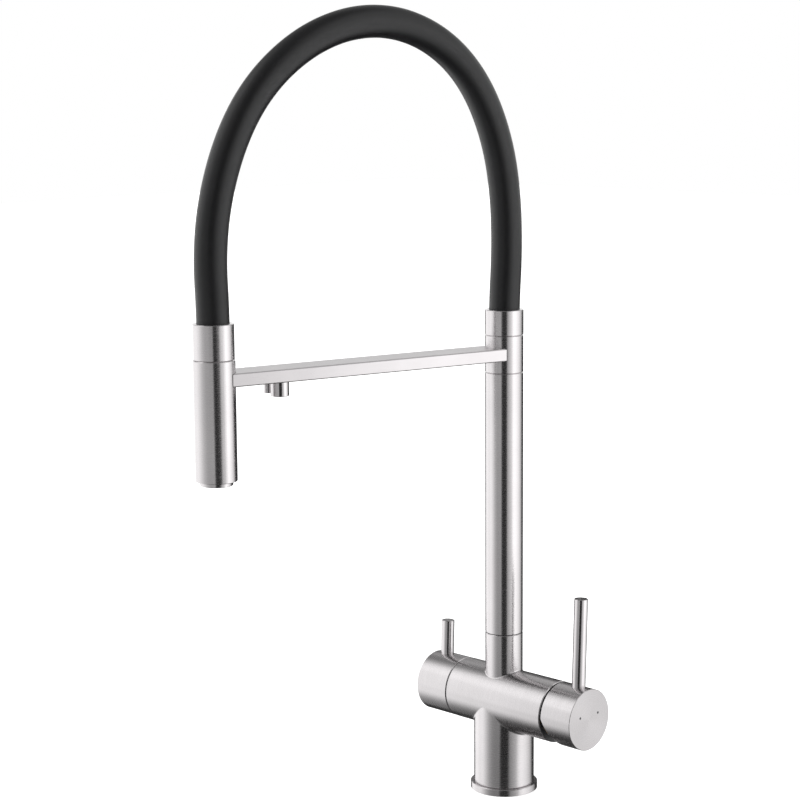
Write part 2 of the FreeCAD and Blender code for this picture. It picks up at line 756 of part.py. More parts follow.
def lever_pin(name, place, dia, top, grip, grub):
    """An upright lever pin, the stud that it screws on, and the grub screw that grips what is inside."""
    stock = turned(name + "_stock", [
        ("0", pin_floor),
        (dia + " / 2", pin_floor),
        (dia + " / 2", top + " - edge_break"),
        (dia + " / 2 - edge_break", top),
        ("0", top),
    ], "Z", (place, "0", "0"))
    stud_top = "pin_sink + 10"
    stud_start = f"({grip} + push_fit)"
    stud = round_bar("screw_dia", f"{stud_top} - {stud_start}", (place, "0", stud_start))
    keep(rest_at_lean(bored(name, stock, [round_bar("screw_dia", "11", (place, "0", pin_floor))])))
    keep(rest_at_lean(grouped(name + "_stud", [stud])))
    keep(rest_at_lean(grouped(name.replace("pin", "grub_screw"), [
        round_bar("screw_dia", "7", (grub, "0", f"0 - {stud_start} - 7")),
    ])))


lever_pin("mixer_pin", "mixer_pin_place", "pin_dia", "mixer_pin_top", "stem_height / 2", "stem_end - 2")

# Filter valve in the left end: seals, housing that screws in, fixed disc

valve_ports = [("0 - filter_in_drop", "filter_port_dia"), ("filter_out_rise", "filter_port_dia")]
valve_start = "0 - valve_seat - seal_thick"
flange_back = "0 - valve_disc_start - 2 * valve_disc_thick - 2 * face_gap"
flange_front = "0 - valve_disc_start - 2 * valve_disc_thick - 2 * face_gap - spindle_flange"
chamber_end = flange_front + " - face_gap"

valve_stock = turned("valve_stock", [
    ("0", valve_start),
    ("valve_dia / 2", valve_start),
    ("valve_dia / 2", "0 - cross_left"),
    ("valve_collar_dia / 2", "0 - cross_left"),
    ("valve_collar_dia / 2", "0 - cross_left - valve_collar_thick"),
    ("valve_nose_dia / 2", "0 - cross_left - valve_collar_thick"),
    ("valve_nose_dia / 2", "0 - valve_nose"),
    ("spindle_dia / 2 + running_fit", "0 - valve_nose"),
    ("spindle_dia / 2 + running_fit", chamber_end),
    ("valve_nose_dia / 2 + face_gap", chamber_end),
    ("valve_nose_dia / 2 + face_gap", "0 - valve_disc_start"),
    ("0", "0 - valve_disc_start"),
], "X")
valve_disc = round_bar("valve_nose_dia", "valve_disc_thick",
                       ("0 - valve_disc_start - valve_disc_thick", "0", "0"), "X")
valve_ways = []
valve_disc_ways = []
valve_rings = []
for rise, dia in valve_ports:
    valve_ways.append(round_bar(dia, "valve_disc_start - valve_seat + 1",
                                ("0 - valve_disc_start - 0.5", "0", rise), "X"))
    valve_disc_ways.append(round_bar(dia, "valve_disc_thick + 2",
                                     ("0 - valve_disc_start - valve_disc_thick - 1", "0", rise), "X"))
    valve_rings.append(tube("valve_seal", dia + " + 2.6", dia + " + 0.2", "0", "seal_thick", "X",
                            (valve_start, "0", rise)))
keep(rest_on_cross(grouped("filter_valve_seals", valve_rings)))
keep(rest_on_cross(bored("filter_valve", valve_stock, valve_ways)))
keep(rest_on_cross(bored("filter_fixed_disc", valve_disc, valve_disc_ways)))

# Dark glide ring behind the filter knob
keep(tube("knob_glide_ring", "cap_dia - 2 * glide_ring_inset", "valve_collar_dia + glide_ring_inset",
          "0 - cross_left - glide_ring_thick", "0 - cross_left", "X", ("0", "0", "axis_height")))

# Filter lever: turning disc, spindle, knob, pin on its stud and grub screw

keep(rest_at_lean(grouped("filter_turning_disc", [round_bar(
    "valve_nose_dia - 0.8", "valve_disc_thick",
    ("0 - valve_disc_start - 2 * valve_disc_thick - face_gap", "0", "0"), "X")])))
keep(turned("filter_spindle", [
    ("0", flange_back),
    ("valve_nose_dia / 2 - face_gap", flange_back),
    ("valve_nose_dia / 2 - face_gap", flange_front),
    ("spindle_dia / 2", flange_front),
    ("spindle_dia / 2", "0 - spindle_end"),
    ("0", "0 - spindle_end"),
], "X", ("0", "0", "axis_height")))
knob_stock = turned("filter_knob_stock", [
    ("cap_dia / 2 - cap_wall", "0 - knob_start"),
    ("cap_dia / 2 - seam_bevel", "0 - knob_start"),
    ("cap_dia / 2", "0 - knob_start - seam_bevel"),
    ("cap_dia / 2", "edge_break - knob_end"),
    ("cap_dia / 2 - edge_break", "0 - knob_end"),
    ("0", "0 - knob_end"),
    ("0", "0 - knob_start - knob_hollow"),
    ("cap_dia / 2 - cap_wall", "0 - knob_start - knob_hollow"),
], "X")
keep(rest_at_lean(bored("filter_knob", knob_stock, [
    round_bar("spindle_dia", "spindle_end - knob_start - knob_hollow + 1",
              ("0 - spindle_end", "0", "0"), "X"),
    round_bar("filter_pin_dia", "cap_dia / 2", ("0 - filter_pin_place", "0", pin_floor)),
    round_bar("screw_dia", "cap_dia / 2", ("0 - filter_pin_place", "0", "0")),
    round_bar("screw_dia", "cap_dia", ("8 - spindle_end", "0", "0 - cap_dia")),
])))
lever_pin("filter_pin", "0 - filter_pin_place", "filter_pin_dia", "filter_pin_top", "spindle_dia / 2",
          "8 - spindle_end")

# Swivel joint: two bushes in the neck, the spigot with its ring seals and stop groove, the stop screw

neck_bore_dia = "neck_dia - 2 * neck_wall"
bush_bore = "spigot_dia"
keep(tube("lower_swivel_bush", neck_bore_dia, bush_bore, "neck_bore_floor + 0.2",
          "neck_bore_floor + 0.2 + bush_height"))
bush_top = "neck_top + 0.3"
keep(turned("upper_swivel_bush", [
    (bush_bore + " / 2", "neck_top - upper_bush_height"),
    ("neck_dia / 2 - neck_wall", "neck_top - upper_bush_height"),
    ("neck_dia / 2 - neck_wall", "neck_top"),
    ("neck_dia / 2 - seam_bevel", "neck_top"),
    ("neck_dia / 2 - seam_bevel", bush_top),
    (bush_bore + " / 2", bush_top),
]))
stop_reach = "spigot_dia / 2 - running_fit - stop_groove_depth + 0.4"
keep(turned("swivel_stop_screw", [
    ("0", stop_reach),
    ("stop_tip_dia / 2", stop_reach),
    ("stop_tip_dia / 2", "neck_dia / 2 - neck_wall + 0.2"),
    ("screw_dia / 2", "neck_dia / 2 - neck_wall + 0.2"),
    ("screw_dia / 2", "neck_dia / 2 - edge_break"),
    ("0", "neck_dia / 2 - edge_break"),
], "Y", ("0", "0", "stop_level")))

riser_start = "neck_top + seam_gap"
seal_half = "((neck_dia - 2 * neck_wall - seal_groove_dia) / 4 + 0.1)"
seat = "spigot_dia / 2 - running_fit"
spigot = turned("spigot_stock", [
    ("spigot_bore / 2", "neck_bore_floor + 1"),
    (seat, "neck_bore_floor + 1"),
    (seat, f"lower_seal_level - {seal_half}"),
    ("seal_groove_dia / 2", f"lower_seal_level - {seal_half}"),
    ("seal_groove_dia / 2", f"lower_seal_level + {seal_half}"),
    (seat, f"lower_seal_level + {seal_half}"),
    (seat, f"upper_seal_level - {seal_half}"),
    ("seal_groove_dia / 2", f"upper_seal_level - {seal_half}"),
    ("seal_groove_dia / 2", f"upper_seal_level + {seal_half}"),
    (seat, f"upper_seal_level + {seal_half}"),
    (seat, riser_start),
    ("riser_dia / 2 - riser_wall", riser_start),
    ("riser_dia / 2 - riser_wall", riser_start + " + spigot_height"),
    ("spigot_bore / 2", riser_start + " + spigot_height"),
])
stop_ring = tube("stop_ring", "neck_dia", "spigot_dia - 2 * running_fit - 2 * stop_groove_depth",
                 "stop_level - stop_groove_height / 2", "stop_level + stop_groove_height / 2")
stop_sector = round_bar("2 * neck_dia", "2 * stop_groove_height",
                        ("0", "0", "stop_level - stop_groove_height"))
tie(stop_sector, Angle="swivel_stop_arc")
sector_turn = number("swivel_stop_arc / 2 - 90")
stop_sector.Placement.Rotation = FreeCAD.Rotation(FreeCAD.Vector(0, 0, -1), sector_turn)
tie(stop_sector, Turn_Angle="swivel_stop_arc / 2 - 90")
stop_groove = doc.addObject("Part::Common", "stop_groove")
stop_groove.Base = stop_ring
stop_groove.Tool = stop_sector
keep(rest_at_swivel(bored("spout_spigot", spigot, [stop_groove])))
keep(rest_at_swivel(grouped("swivel_seals", [
    ring_seal("lower_ring", "seal_groove_dia + 0.04", neck_bore_dia + " - 0.12", "lower_seal_level"),
    ring_seal("upper_ring", "seal_groove_dia + 0.04", neck_bore_dia + " - 0.12", "upper_seal_level"),
])))

# Riser: outer tube, filter-water tube inside it, manifold that parts the two waters, collar with the arm

riser_bore = "riser_dia - 2 * riser_wall"
keep(rest_at_swivel(bevelled_tube("riser_tube", "riser_dia", riser_bore, riser_start, "riser_top")))
tube_top = "manifold_start + 6"
keep(rest_at_swivel(tube("filter_water_tube", "filter_tube_dia", "filter_tube_bore",
                         socket_floor + " + 0.3", tube_top)))
manifold_groove = "manifold_start + 3.4"
manifold_stock = turned("manifold_stock", [
    ("0", "manifold_start"),
    ("riser_dia / 2 - riser_wall", "manifold_start"),
    ("riser_dia / 2 - riser_wall", manifold_groove),
    ("riser_dia / 2 - riser_wall - 1.4", manifold_groove),
    ("riser_dia / 2 - riser_wall - 1.4", manifold_groove + " + 2.4"),
    ("riser_dia / 2 - riser_wall", manifold_groove + " + 2.4"),
    ("riser_dia / 2 - riser_wall", "collar_top"),
    ("tail_shoulder_dia / 2", "collar_top"),
    ("tail_shoulder_dia / 2", "collar_top + ferrule_web"),
    ("tail_dia / 2", "collar_top + ferrule_web"),
    ("tail_dia / 2", "tail_top"),
    ("0", "tail_top"),
])
cross_way = "(collar_top - 5)"
keep(rest_at_swivel(bored("water_manifold", manifold_stock, [
    round_bar("filter_tube_dia", "7", ("0", "0", "manifold_start - 1")),
    round_bar("filter_tube_bore", "arm_level - manifold_start + filter_tube_bore",
              ("0", "0", "manifold_start")),
    round_bar("filter_tube_bore - 0.4", "riser_dia / 2", ("0", "0 - riser_dia / 2", "arm_level"), "Y"),
    round_bar("mixed_port_dia", "collar_top - manifold_start - 2",
              ("0", "mixed_offset", "manifold_start - 1")),
    round_bar("mixed_port_dia - 0.4", "mixed_offset", ("0", "0", cross_way), "Y"),
    round_bar("tail_bore", f"tail_top - {cross_way} + 1", ("0", "0", cross_way)),
])))
keep(rest_at_swivel(ring_seal("manifold_seal", riser_bore + " - 2.8", riser_bore,
                              manifold_groove + " + 1.2")))

collar_stock = bevelled_tube("collar_stock", "riser_dia", riser_bore, "riser_top", "collar_top")
keep(rest_at_swivel(bored("arm_collar", collar_stock, [
    round_bar("filter_tube_dia", "riser_dia", ("0", "0 - riser_dia", "arm_level"), "Y"),
])))

half_wide, half_thick = "arm_width / 2", "arm_thick / 2"
arm_stock = extruded("arm_stock", [
    (f"arm_bevel - {half_wide}", f"arm_level - {half_thick}"),
    (f"{half_wide} - arm_bevel", f"arm_level - {half_thick}"),
    (half_wide, f"arm_level - {half_thick} + arm_bevel"),
    (half_wide, f"arm_level + {half_thick} - arm_bevel"),
    (f"{half_wide} - arm_bevel", f"arm_level + {half_thick}"),
    (f"arm_bevel - {half_wide}", f"arm_level + {half_thick}"),
    (f"0 - {half_wide}", f"arm_level + {half_thick} - arm_bevel"),
    (f"0 - {half_wide}", f"arm_level - {half_thick} + arm_bevel"),
], "arm_reach")
nozzle_top = f"arm_level - {half_thick} + nozzle_shank_length"
seat_face = "arm_reach - head_dia / 2 - dock_gap"
tube_end = "nozzle_place - nozzle_shank + 0.6"
keep(rest_at_swivel(bored("arm_bar", arm_stock, [
    round_bar("riser_dia", "2 * arm_thick", ("0", "0", "arm_level - arm_thick")),
    round_bar("head_dia + 2 * dock_gap", "2 * arm_thick", ("0", "0 - arm_reach", "arm_level - arm_thick")),
    round_bar("filter_tube_dia", tube_end, ("0", f"0 - ({tube_end})", "arm_level"), "Y"),
    round_bar("filter_tube_bore", "nozzle_shank", ("0", "0 - nozzle_place", "arm_level"), "Y"),
    round_bar("nozzle_shank + 0.2", f"{nozzle_top} - arm_level + arm_thick + 1.4",
              ("0", "0 - nozzle_place", "arm_level - arm_thick")),
    round_bar("magnet_dia + 2 * push_fit", "magnet_thick + 1",
              ("0", f"0 - ({seat_face} + 0.8)", "arm_level"), "Y"),
    round_bar("lock_screw_shank", f"{half_thick} + 0.4",
              ("0 - lock_screw_offset", "0 - lock_screw_place", f"arm_level - {half_thick} - 0.2")),
])))
keep(rest_at_swivel(grouped("arm_water_tube", [tube(
    "arm_tube_stock", "filter_tube_dia", "filter_tube_bore", f"0 - ({tube_end})",
    "riser_wall - riser_dia / 2", "Y", ("0", "0", "arm_level"))])))
keep(rest_at_swivel(grouped("dock_magnet", [round_bar(
    "magnet_dia", "magnet_thick", ("0", f"0.2 - ({seat_face})", "arm_level"), "Y")])))

# Filtered-water outlet under the arm: nozzle, perforated strainer, and the screw beside it

arm_under = f"arm_level - {half_thick}"
nozzle_low = f"{arm_under} - nozzle_drop"
nozzle_stock = turned("nozzle_stock", [
    ("nozzle_bore / 2", nozzle_top),
    ("nozzle_shank / 2", nozzle_top),
    ("nozzle_shank / 2", arm_under),
    ("nozzle_dia / 2", arm_under),
    ("nozzle_dia / 2", nozzle_low + " + edge_break"),
    ("nozzle_dia / 2 - edge_break", nozzle_low),
    ("nozzle_cup / 2", nozzle_low),
    ("nozzle_cup / 2", nozzle_low + " + nozzle_cup_depth"),
    ("nozzle_bore / 2", nozzle_low + " + nozzle_cup_depth + 1.5"),
])
keep(rest_at_swivel(grouped("filter_nozzle", [tie(nozzle_stock, Base_y="0 - nozzle_place")])))
strainer = turned("strainer_stock", [
    ("0", nozzle_low + " + nozzle_cup_depth - strainer_thick - 0.2"),
    ("nozzle_cup / 2 - push_fit", nozzle_low + " + nozzle_cup_depth - strainer_thick - 0.2"),
    ("nozzle_cup / 2 - push_fit", nozzle_low + " + nozzle_cup_depth - 0.2"),
    ("0", nozzle_low + " + nozzle_cup_depth - 0.2"),
])
doc.recompute()
pierced(strainer, "strainer_holes", "strainer_hole", "nozzle_cup / 3.6", 7)
keep(rest_at_swivel(grouped("filter_aerator", [tie(strainer, Base_y="0 - nozzle_place")])))
keep(rest_at_swivel(joined("outlet_lock_screw", [
    round_bar("lock_screw_dia", "lock_screw_drop",
              ("0 - lock_screw_offset", "0 - lock_screw_place", arm_under + " - lock_screw_drop")),
    round_bar("lock_screw_shank", f"{half_thick} + lock_screw_drop",
              ("0 - lock_screw_offset", "0 - lock_screw_place", arm_under + " - lock_screw_drop")),
])))

# Hose: a rubber inner hose in a silicone outer one, from the ferrule on the riser over to the spray head


def ferrule(label, top):
    """A cup over the hose end, with the hose tail standing through its web."""
    web_top = "collar_top + ferrule_web"
    return turned(label, [
        ("tail_shoulder_dia / 2", "collar_top"),
        ("ferrule_dia / 2 - seam_bevel", "collar_top"),
        ("ferrule_dia / 2", "collar_top + seam_bevel"),
        ("ferrule_dia / 2", top + " - edge_break"),
        ("ferrule_dia / 2 - edge_break", top),
        ("hose_dia / 2 + push_fit", top),
        ("hose_dia / 2 + push_fit", web_top),
        ("tail_shoulder_dia / 2", web_top),
    ])


keep(rest_at_swivel(ferrule("riser_ferrule", "ferrule_top")))

# The route lies in the upright plane of the arm: reach from the riser, and rise above the ferrule's web
ROUTE = [
    (0, 0),
    (0, 19.9),
    (-2.4, 57.9),
    (-1.4, 96.7),
    (4.5, 133.1),
    (17, 165.9),
    (33.8, 190.5),
    (55, 208.3),
    (80.5, 219.7),
    (107.9, 223.5),
    (136.4, 219.4),
    (164.7, 207.2),
    (190.9, 187),
    (210.6, 162.2),
    (225.2, 131.3),
    (234.4, 97),
    (237.5, 63.8),
    (236, 31.9),
    (236, 0),
]
hose_start = number("collar_top + ferrule_web + face_gap")
wider = number("arm_reach") / ROUTE[-1][0]
higher = number("hose_rise") / max(rise for reach, rise in ROUTE)
route_spots = [FreeCAD.Vector(0, -reach * wider, hose_start + rise * higher) for reach, rise in ROUTE]


def route_wire(spots):
    """Straight runs joined by tangent arcs, each as large as its two runs allow."""
    edges = []
    radii = []
    here = spots[0]
    for before, corner, after in zip(spots, spots[1:], spots[2:]):
        into, out = corner - before, after - corner
        turn = into.getAngle(out)
        setback = 0.45 * min(into.Length, out.Length)
        radius = setback / math.tan(turn / 2)
        start = corner - into.normalize() * setback
        end = corner + out.normalize() * setback
        aim = (start + end) * 0.5 - corner
        middle = corner + aim.normalize() * (radius / math.cos(turn / 2) - radius)
        edges.append(Part.LineSegment(here, start).toShape())
        edges.append(Part.Arc(start, middle, end).toShape())
        radii.append(radius)
        here = end
    edges.append(Part.LineSegment(here, spots[-1]).toShape())
    return Part.Wire(edges), radii


path_wire, path_radii = route_wire(route_spots)
path = doc.addObject("Part::Feature", "hose_path")
path.Shape = path_wire
print("hose arc radii in mm:", [round(radius) for radius in path_radii])
print("hose length in mm:", round(path_wire.Length, 1))


def swept(label, dia):
    """A round bar along the hose's path."""
    circle = doc.addObject("Part::Circle", label + "_circle")
    tie(circle, Radius=f"({dia}) / 2")
    circle.Placement.Base.z = hose_start
    sweep = doc.addObject("Part::Sweep", label)
    sweep.Sections = [circle]
    sweep.Spine = (path, [f"Edge{place}" for place in range(1, len(path_wire.Edges) + 1)])
    sweep.Solid = True
    sweep.Frenet = False
    return sweep


water_hose = keep(rest_at_swivel(bored(
    "water_hose", swept("inner_outside", "inner_hose_dia"), [swept("inner_bore", "inner_hose_bore")])))
silicone_hose = keep(rest_at_swivel(bored(
    "silicone_hose", swept("outer_outside", "hose_dia"), [swept("outer_bore", "hose_bore")])))

# Spray head: ferrule, shell, core with the check valve and the plate that the dock magnet holds, spray outlet

shell_wall = "head_dia / 2 - head_wall"
keep(rest_at_head(ferrule("head_ferrule", "head_ferrule_top")))
keep(rest_at_head(turned("head_shell", [
    ("aerator_dia / 2 + push_fit", "head_bottom"),
    ("head_dia / 2 - edge_break", "head_bottom"),
    ("head_dia / 2", "head_bottom + edge_break"),
    ("head_dia / 2", "collar_top - seam_bevel"),
    ("head_dia / 2 - seam_bevel", "collar_top"),
    (shell_wall, "collar_top"),
    (shell_wall, "head_bottom + head_lip"),
    ("aerator_dia / 2 + push_fit", "head_bottom + head_lip"),
])))
seal_low = "head_seal_level - head_seal_section"
seal_high = "head_seal_level + head_seal_section"
core_stock = turned("core_stock", [
    ("0", "core_start"),
    (shell_wall, "core_start"),
    (shell_wall, seal_low),
    (f"{shell_wall} - head_seal_section", seal_low),
    (f"{shell_wall} - head_seal_section", seal_high),
    (shell_wall, seal_high),
    (shell_wall, "collar_top"),
    ("tail_shoulder_dia / 2", "collar_top"),
    ("tail_shoulder_dia / 2", "collar_top + ferrule_web"),
    ("tail_dia / 2", "collar_top + ferrule_web"),
    ("tail_dia / 2", "tail_top"),
    ("0", "tail_top"),
])
keep(rest_at_head(bored("head_core", core_stock, [
    round_bar("valve_pocket_dia", "valve_pocket_top - core_start + 1", ("0", "0", "core_start - 1")),
    round_bar("tail_bore", "tail_top - valve_pocket_top + 2", ("0", "0", "valve_pocket_top - 1")),
    round_bar("magnet_dia + 2 * push_fit", "plate_thick + 1.5", ("0", "plate_depth", "arm_level"), "Y"),
])))
keep(rest_at_head(ring_seal(
    "head_seal", f"2 * ({shell_wall} - head_seal_section)", f"2 * ({shell_wall})", "head_seal_level")))
keep(rest_at_head(tube("check_valve", "valve_pocket_dia - 2 * push_fit", "tail_bore - 0.4",
                       "valve_pocket_top - check_valve_height", "valve_pocket_top")))
keep(rest_at_head(grouped("head_magnet", [round_bar(
    "magnet_dia", "plate_thick", ("0", "plate_depth + 0.1", "arm_level"), "Y")])))

keep(rest_at_head(turned("aerator_housing", [
    ("aerator_bore / 2", "head_bottom - aerator_drop"),
    ("aerator_dia / 2 - edge_break", "head_bottom - aerator_drop"),
    ("aerator_dia / 2", "head_bottom - aerator_drop + edge_break"),
    ("aerator_dia / 2", "core_start"),
    ("aerator_bore / 2 - 2.2", "core_start"),
    ("aerator_bore / 2 - 2.2", "core_start - 2.5"),
    ("aerator_bore / 2", "core_start - 2.5"),
])))
spray_disc = turned("aerator_insert", [
    ("0", "core_start - 2.6 - spray_disc_thick"),
    ("aerator_bore / 2 - push_fit", "core_start - 2.6 - spray_disc_thick"),
    ("aerator_bore / 2 - push_fit", "core_start - 2.6"),
    ("0", "core_start - 2.6"),
])
doc.recompute()
pierced(spray_disc, "inner_spray_holes", "spray_hole", "aerator_bore / 5.5", 6)
doc.recompute()
pierced(spray_disc, "outer_spray_holes", "spray_hole", "aerator_bore / 2.75", 12)
keep(rest_at_head(spray_disc))

# Everything is checked before it is written

doc.recompute()
faults = [thing.Name for thing in doc.Objects if "Invalid" in thing.State or "Error" in thing.State]
faults += [thing.Label for thing in pieces if thing.Shape.isNull() or not thing.Shape.isValid()]
faults += [thing.Label for thing in pieces if not thing.Shape.Solids]
if faults:
    raise RuntimeError("not sound: " + ", ".join(faults))
hoses = ((silicone_hose, "hose_dia", "hose_bore"), (water_hose, "inner_hose_dia", "inner_hose_bore"))
for hose, outer, inner in hoses:
    ring_area = math.pi / 4 * (number(outer) ** 2 - number(inner) ** 2)
    share = hose.Shape.Volume / (ring_area * path_wire.Length)
    print(f"{hose.Label}: volume is {share:.4f} of its section times its length")
    if abs(share - 1) > 0.01:
        raise RuntimeError("the hose did not follow its path")

os.makedirs("parts", exist_ok=True)
for thing in pieces:
    thing.Shape.exportStep(f"parts/{thing.Label}.step")
print(len(pieces), "sub-parts written")
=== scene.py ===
# %% [markdown]
# # A kitchen mixer tap in brushed stainless steel
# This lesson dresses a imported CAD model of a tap: an upright barrel with a cross barrel, a riser,
# a flat arm, a pull-off spray head and an arched silicone hose. The CAD pieces come in as they are,
# so the work here is what CAD leaves out: the soft hose, the finish of each metal, the small
# details that a hand would feel, and a plain studio to see them in.

# %% Load the frame
import math

import bmesh
import bpy
from mathutils import Matrix, Vector


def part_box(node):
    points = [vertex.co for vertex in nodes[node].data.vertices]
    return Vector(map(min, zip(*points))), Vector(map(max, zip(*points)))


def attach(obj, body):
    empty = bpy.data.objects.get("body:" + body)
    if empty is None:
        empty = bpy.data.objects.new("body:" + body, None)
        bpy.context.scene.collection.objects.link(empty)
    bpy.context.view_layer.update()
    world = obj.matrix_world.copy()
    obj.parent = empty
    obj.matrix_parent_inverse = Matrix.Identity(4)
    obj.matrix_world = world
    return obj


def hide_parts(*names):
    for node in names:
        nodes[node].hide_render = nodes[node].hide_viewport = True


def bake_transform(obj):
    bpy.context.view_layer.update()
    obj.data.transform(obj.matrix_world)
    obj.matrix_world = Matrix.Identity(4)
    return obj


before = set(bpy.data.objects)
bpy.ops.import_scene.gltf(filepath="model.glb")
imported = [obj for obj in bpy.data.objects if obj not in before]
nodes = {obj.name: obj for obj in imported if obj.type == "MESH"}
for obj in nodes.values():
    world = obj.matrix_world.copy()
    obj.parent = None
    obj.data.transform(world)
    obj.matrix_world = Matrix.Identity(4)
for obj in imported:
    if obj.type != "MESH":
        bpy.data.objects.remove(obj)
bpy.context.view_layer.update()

# %% [markdown]
# ## Sizes that the scene shares with the CAD model
# A dressed piece only fits if it uses the same numbers as the solid under it. These few are
# repeated here in metres: the turn of the arm, the heights of the axes and the main diameters.

# %% Shared sizes
MM = 0.001
SWIVEL = math.radians(14)
ARM_WAY = Vector((-math.sin(SWIVEL), -math.cos(SWIVEL), 0))
ARM_SIDE = Vector((math.cos(SWIVEL), -math.sin(SWIVEL), 0))
ARM_REACH = 236 * MM
AXIS_HEIGHT = 69.5 * MM
CROSS_RADIUS = 22.7 * MM
CAP_FACE = 82.5 * MM
STOP_SCREW_HEIGHT = 109.7 * MM
NECK_RADIUS = 14 * MM
SPRAY_FACE = 258.6 * MM
HEAD_CENTRE = ARM_WAY * ARM_REACH
print("spray head stands at", [round(value, 4) for value in HEAD_CENTRE])

# %% [markdown]
# ## The camera
# A product photograph is taken from far away with a long lens, so that upright tubes stay nearly
# parallel. The angle was worked out from the outlines of the rings and the barrel: 44.6 degrees
# round from the front, 9.1 degrees down and a very small roll. A lens of 94 mm gives the same
# slight perspective.

# %% Camera
CAMERA_PLACE = Vector((1.013954, -1.136282, 0.539087))
CAMERA_TURN = math.radians(44.622)
CAMERA_TILT = math.radians(90 - 9.084)
CAMERA_ROLL = math.radians(-0.426)
FOCAL_PIXELS = 2097.947
PICTURE_PIXELS = 800
SENSOR_WIDTH = 36
camera_data = bpy.data.cameras.new("studio_camera")
camera_data.sensor_width = SENSOR_WIDTH
camera_data.lens = FOCAL_PIXELS / PICTURE_PIXELS * SENSOR_WIDTH
camera_data.clip_start = 0.05
camera_data.clip_end = 50
camera = bpy.data.objects.new("studio_camera", camera_data)
bpy.context.scene.collection.objects.link(camera)
camera.matrix_world = (
    Matrix.Translation(CAMERA_PLACE)
    @ Matrix.Rotation(CAMERA_TURN, 4, "Z")
    @ Matrix.Rotation(CAMERA_TILT, 4, "X")
    @ Matrix.Rotation(CAMERA_ROLL, 4, "Z")
)
bpy.context.scene.camera = camera
bpy.context.scene.view_settings.view_transform = "Standard"
print("lens in mm:", round(camera_data.lens, 2))

# %% [markdown]
# ## Colours and nodes
# Hex colours are written as the screen shows them, in sRGB, while Blender's nodes work with linear
# light. One function turns one into the other. Another adds a node with its settings and links,
# so that a material reads as a short list.

# %% Colour and node helpers
def linear(hex_colour, alpha=1.0):
    """'#RRGGBB' as the linear colour that a node wants."""
    parts = [int(hex_colour[place:place + 2], 16) / 255 for place in (1, 3, 5)]
    parts = [part / 12.92 if part <= 0.04045 else ((part + 0.055) / 1.055) ** 2.4 for part in parts]
    return (*parts, alpha)


def add_node(tree, kind, inputs=None, **settings):
    """Adds a node. An input is given a number or colour, or another node's output to link."""
    node = tree.nodes.new(kind)
    for name, value in settings.items():
        setattr(node, name, value)
    for name, value in (inputs or {}).items():
        if isinstance(value, bpy.types.NodeSocket):
            tree.links.new(value, node.inputs[name])
        else:
            node.inputs[name].default_value = value
    return node


def new_material(name):
    """An empty node material with its output, and the tree to fill."""
    material = bpy.data.materials.new(name)
    material.use_nodes = True
    material.node_tree.nodes.clear()
    return material, material.node_tree


# %% [markdown]
# ## The hose
# On the real tap a reinforced water hose runs inside a thick silicone sleeve, stiff enough to stand
# up by itself and to make one even arch. It leaves the ferrule on the riser straight up, leans in a
# little, goes over and comes straight down into the spray head. A smooth spline through the points
# of that arch is the honest way to make it. A bevelled curve would also show it, but a mesh is
# needed because the hose has to bend when the spray head is pulled off.

# %% The line of the hose
HOSE_DIAMETER = 22.5 * MM
HOSE_ROUTE = [
    (0.0, 346.1), (0.0, 366.0), (-2.4, 404.0), (-1.4, 442.8), (4.5, 479.2), (17.0, 512.0), (33.8, 536.6),
    (55.0, 554.4), (80.5, 565.8), (107.9, 569.6), (136.4, 565.5), (164.7, 553.3), (190.9, 533.1),
    (210.6, 508.3), (225.2, 477.4), (234.4, 443.1), (237.5, 409.9), (236.0, 378.0), (236.0, 346.1),
]
hose_curve = bpy.data.curves.new("hose_line", "CURVE")
hose_curve.dimensions = "3D"
hose_curve.resolution_u = 10
hose_spline = hose_curve.splines.new("NURBS")
hose_spline.points.add(len(HOSE_ROUTE) - 1)
for point, (reach, height) in zip(hose_spline.points, HOSE_ROUTE):
    place = ARM_WAY * reach * MM
    point.co = (place.x, place.y, height * MM, 1)
hose_spline.order_u = 3
hose_spline.use_endpoint_u = True
hose_line = bpy.data.objects.new("hose_line", hose_curve)
bpy.context.scene.collection.objects.link(hose_line)
bpy.context.view_layer.update()
line_mesh = bpy.data.meshes.new_from_object(hose_line)
hose_path = [vertex.co.copy() for vertex in line_mesh.vertices]
bpy.data.meshes.remove(line_mesh)
hose_length = sum((after - before).length for before, after in zip(hose_path, hose_path[1:]))
print("hose points:", len(hose_path), "length in m:", round(hose_length, 4))

# %% The sleeve of the hose
def only(*objects):
    """Selects just these objects, the last one active."""
    bpy.ops.object.select_all(action="DESELECT")
    for thing in objects:
        thing.select_set(True)
    bpy.context.view_layer.objects.active = objects[-1]


hose_curve.bevel_depth = HOSE_DIAMETER / 2
hose_curve.bevel_resolution = 14
hose_curve.use_fill_caps = True
only(hose_line)
bpy.ops.object.convert(target="MESH")
hose = bpy.context.view_layer.objects.active
hose.name = "silicone_sleeve"
bpy.ops.object.shade_smooth_by_angle(angle=math.radians(50))
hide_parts("silicone_hose", "water_hose")
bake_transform(hose)
print("sleeve faces:", len(hose.data.polygons))

# %% [markdown]
# ## The studio
# Polished and brushed metal shows what stands round it, so the lighting is a picture in itself.
# The photograph's tubes are light at both sides with a dark stripe down the middle, and the stripe
# lies further to the right on the spray head than on the riser. So what makes it is near: the tap
# stands in a light tent of 0.65 m radius, and the dark stripe is the slit that the camera looks in through.
# The flat top of the arm and the cross barrel look out over the tent's open top at the far walls
# and the darker ceiling. So there are two rounds of walls: the tent, which shifts from piece to
# piece, and the far room, which doesn't. Both are seen in reflections only and are fixed in the
# room, not to the camera. A plain white world lights everything else.

# %% Light round the room
FRONT = (math.sin(CAMERA_TURN), -math.cos(CAMERA_TURN), 0)
FRONT_RIGHT = (math.cos(CAMERA_TURN), math.sin(CAMERA_TURN), 0)
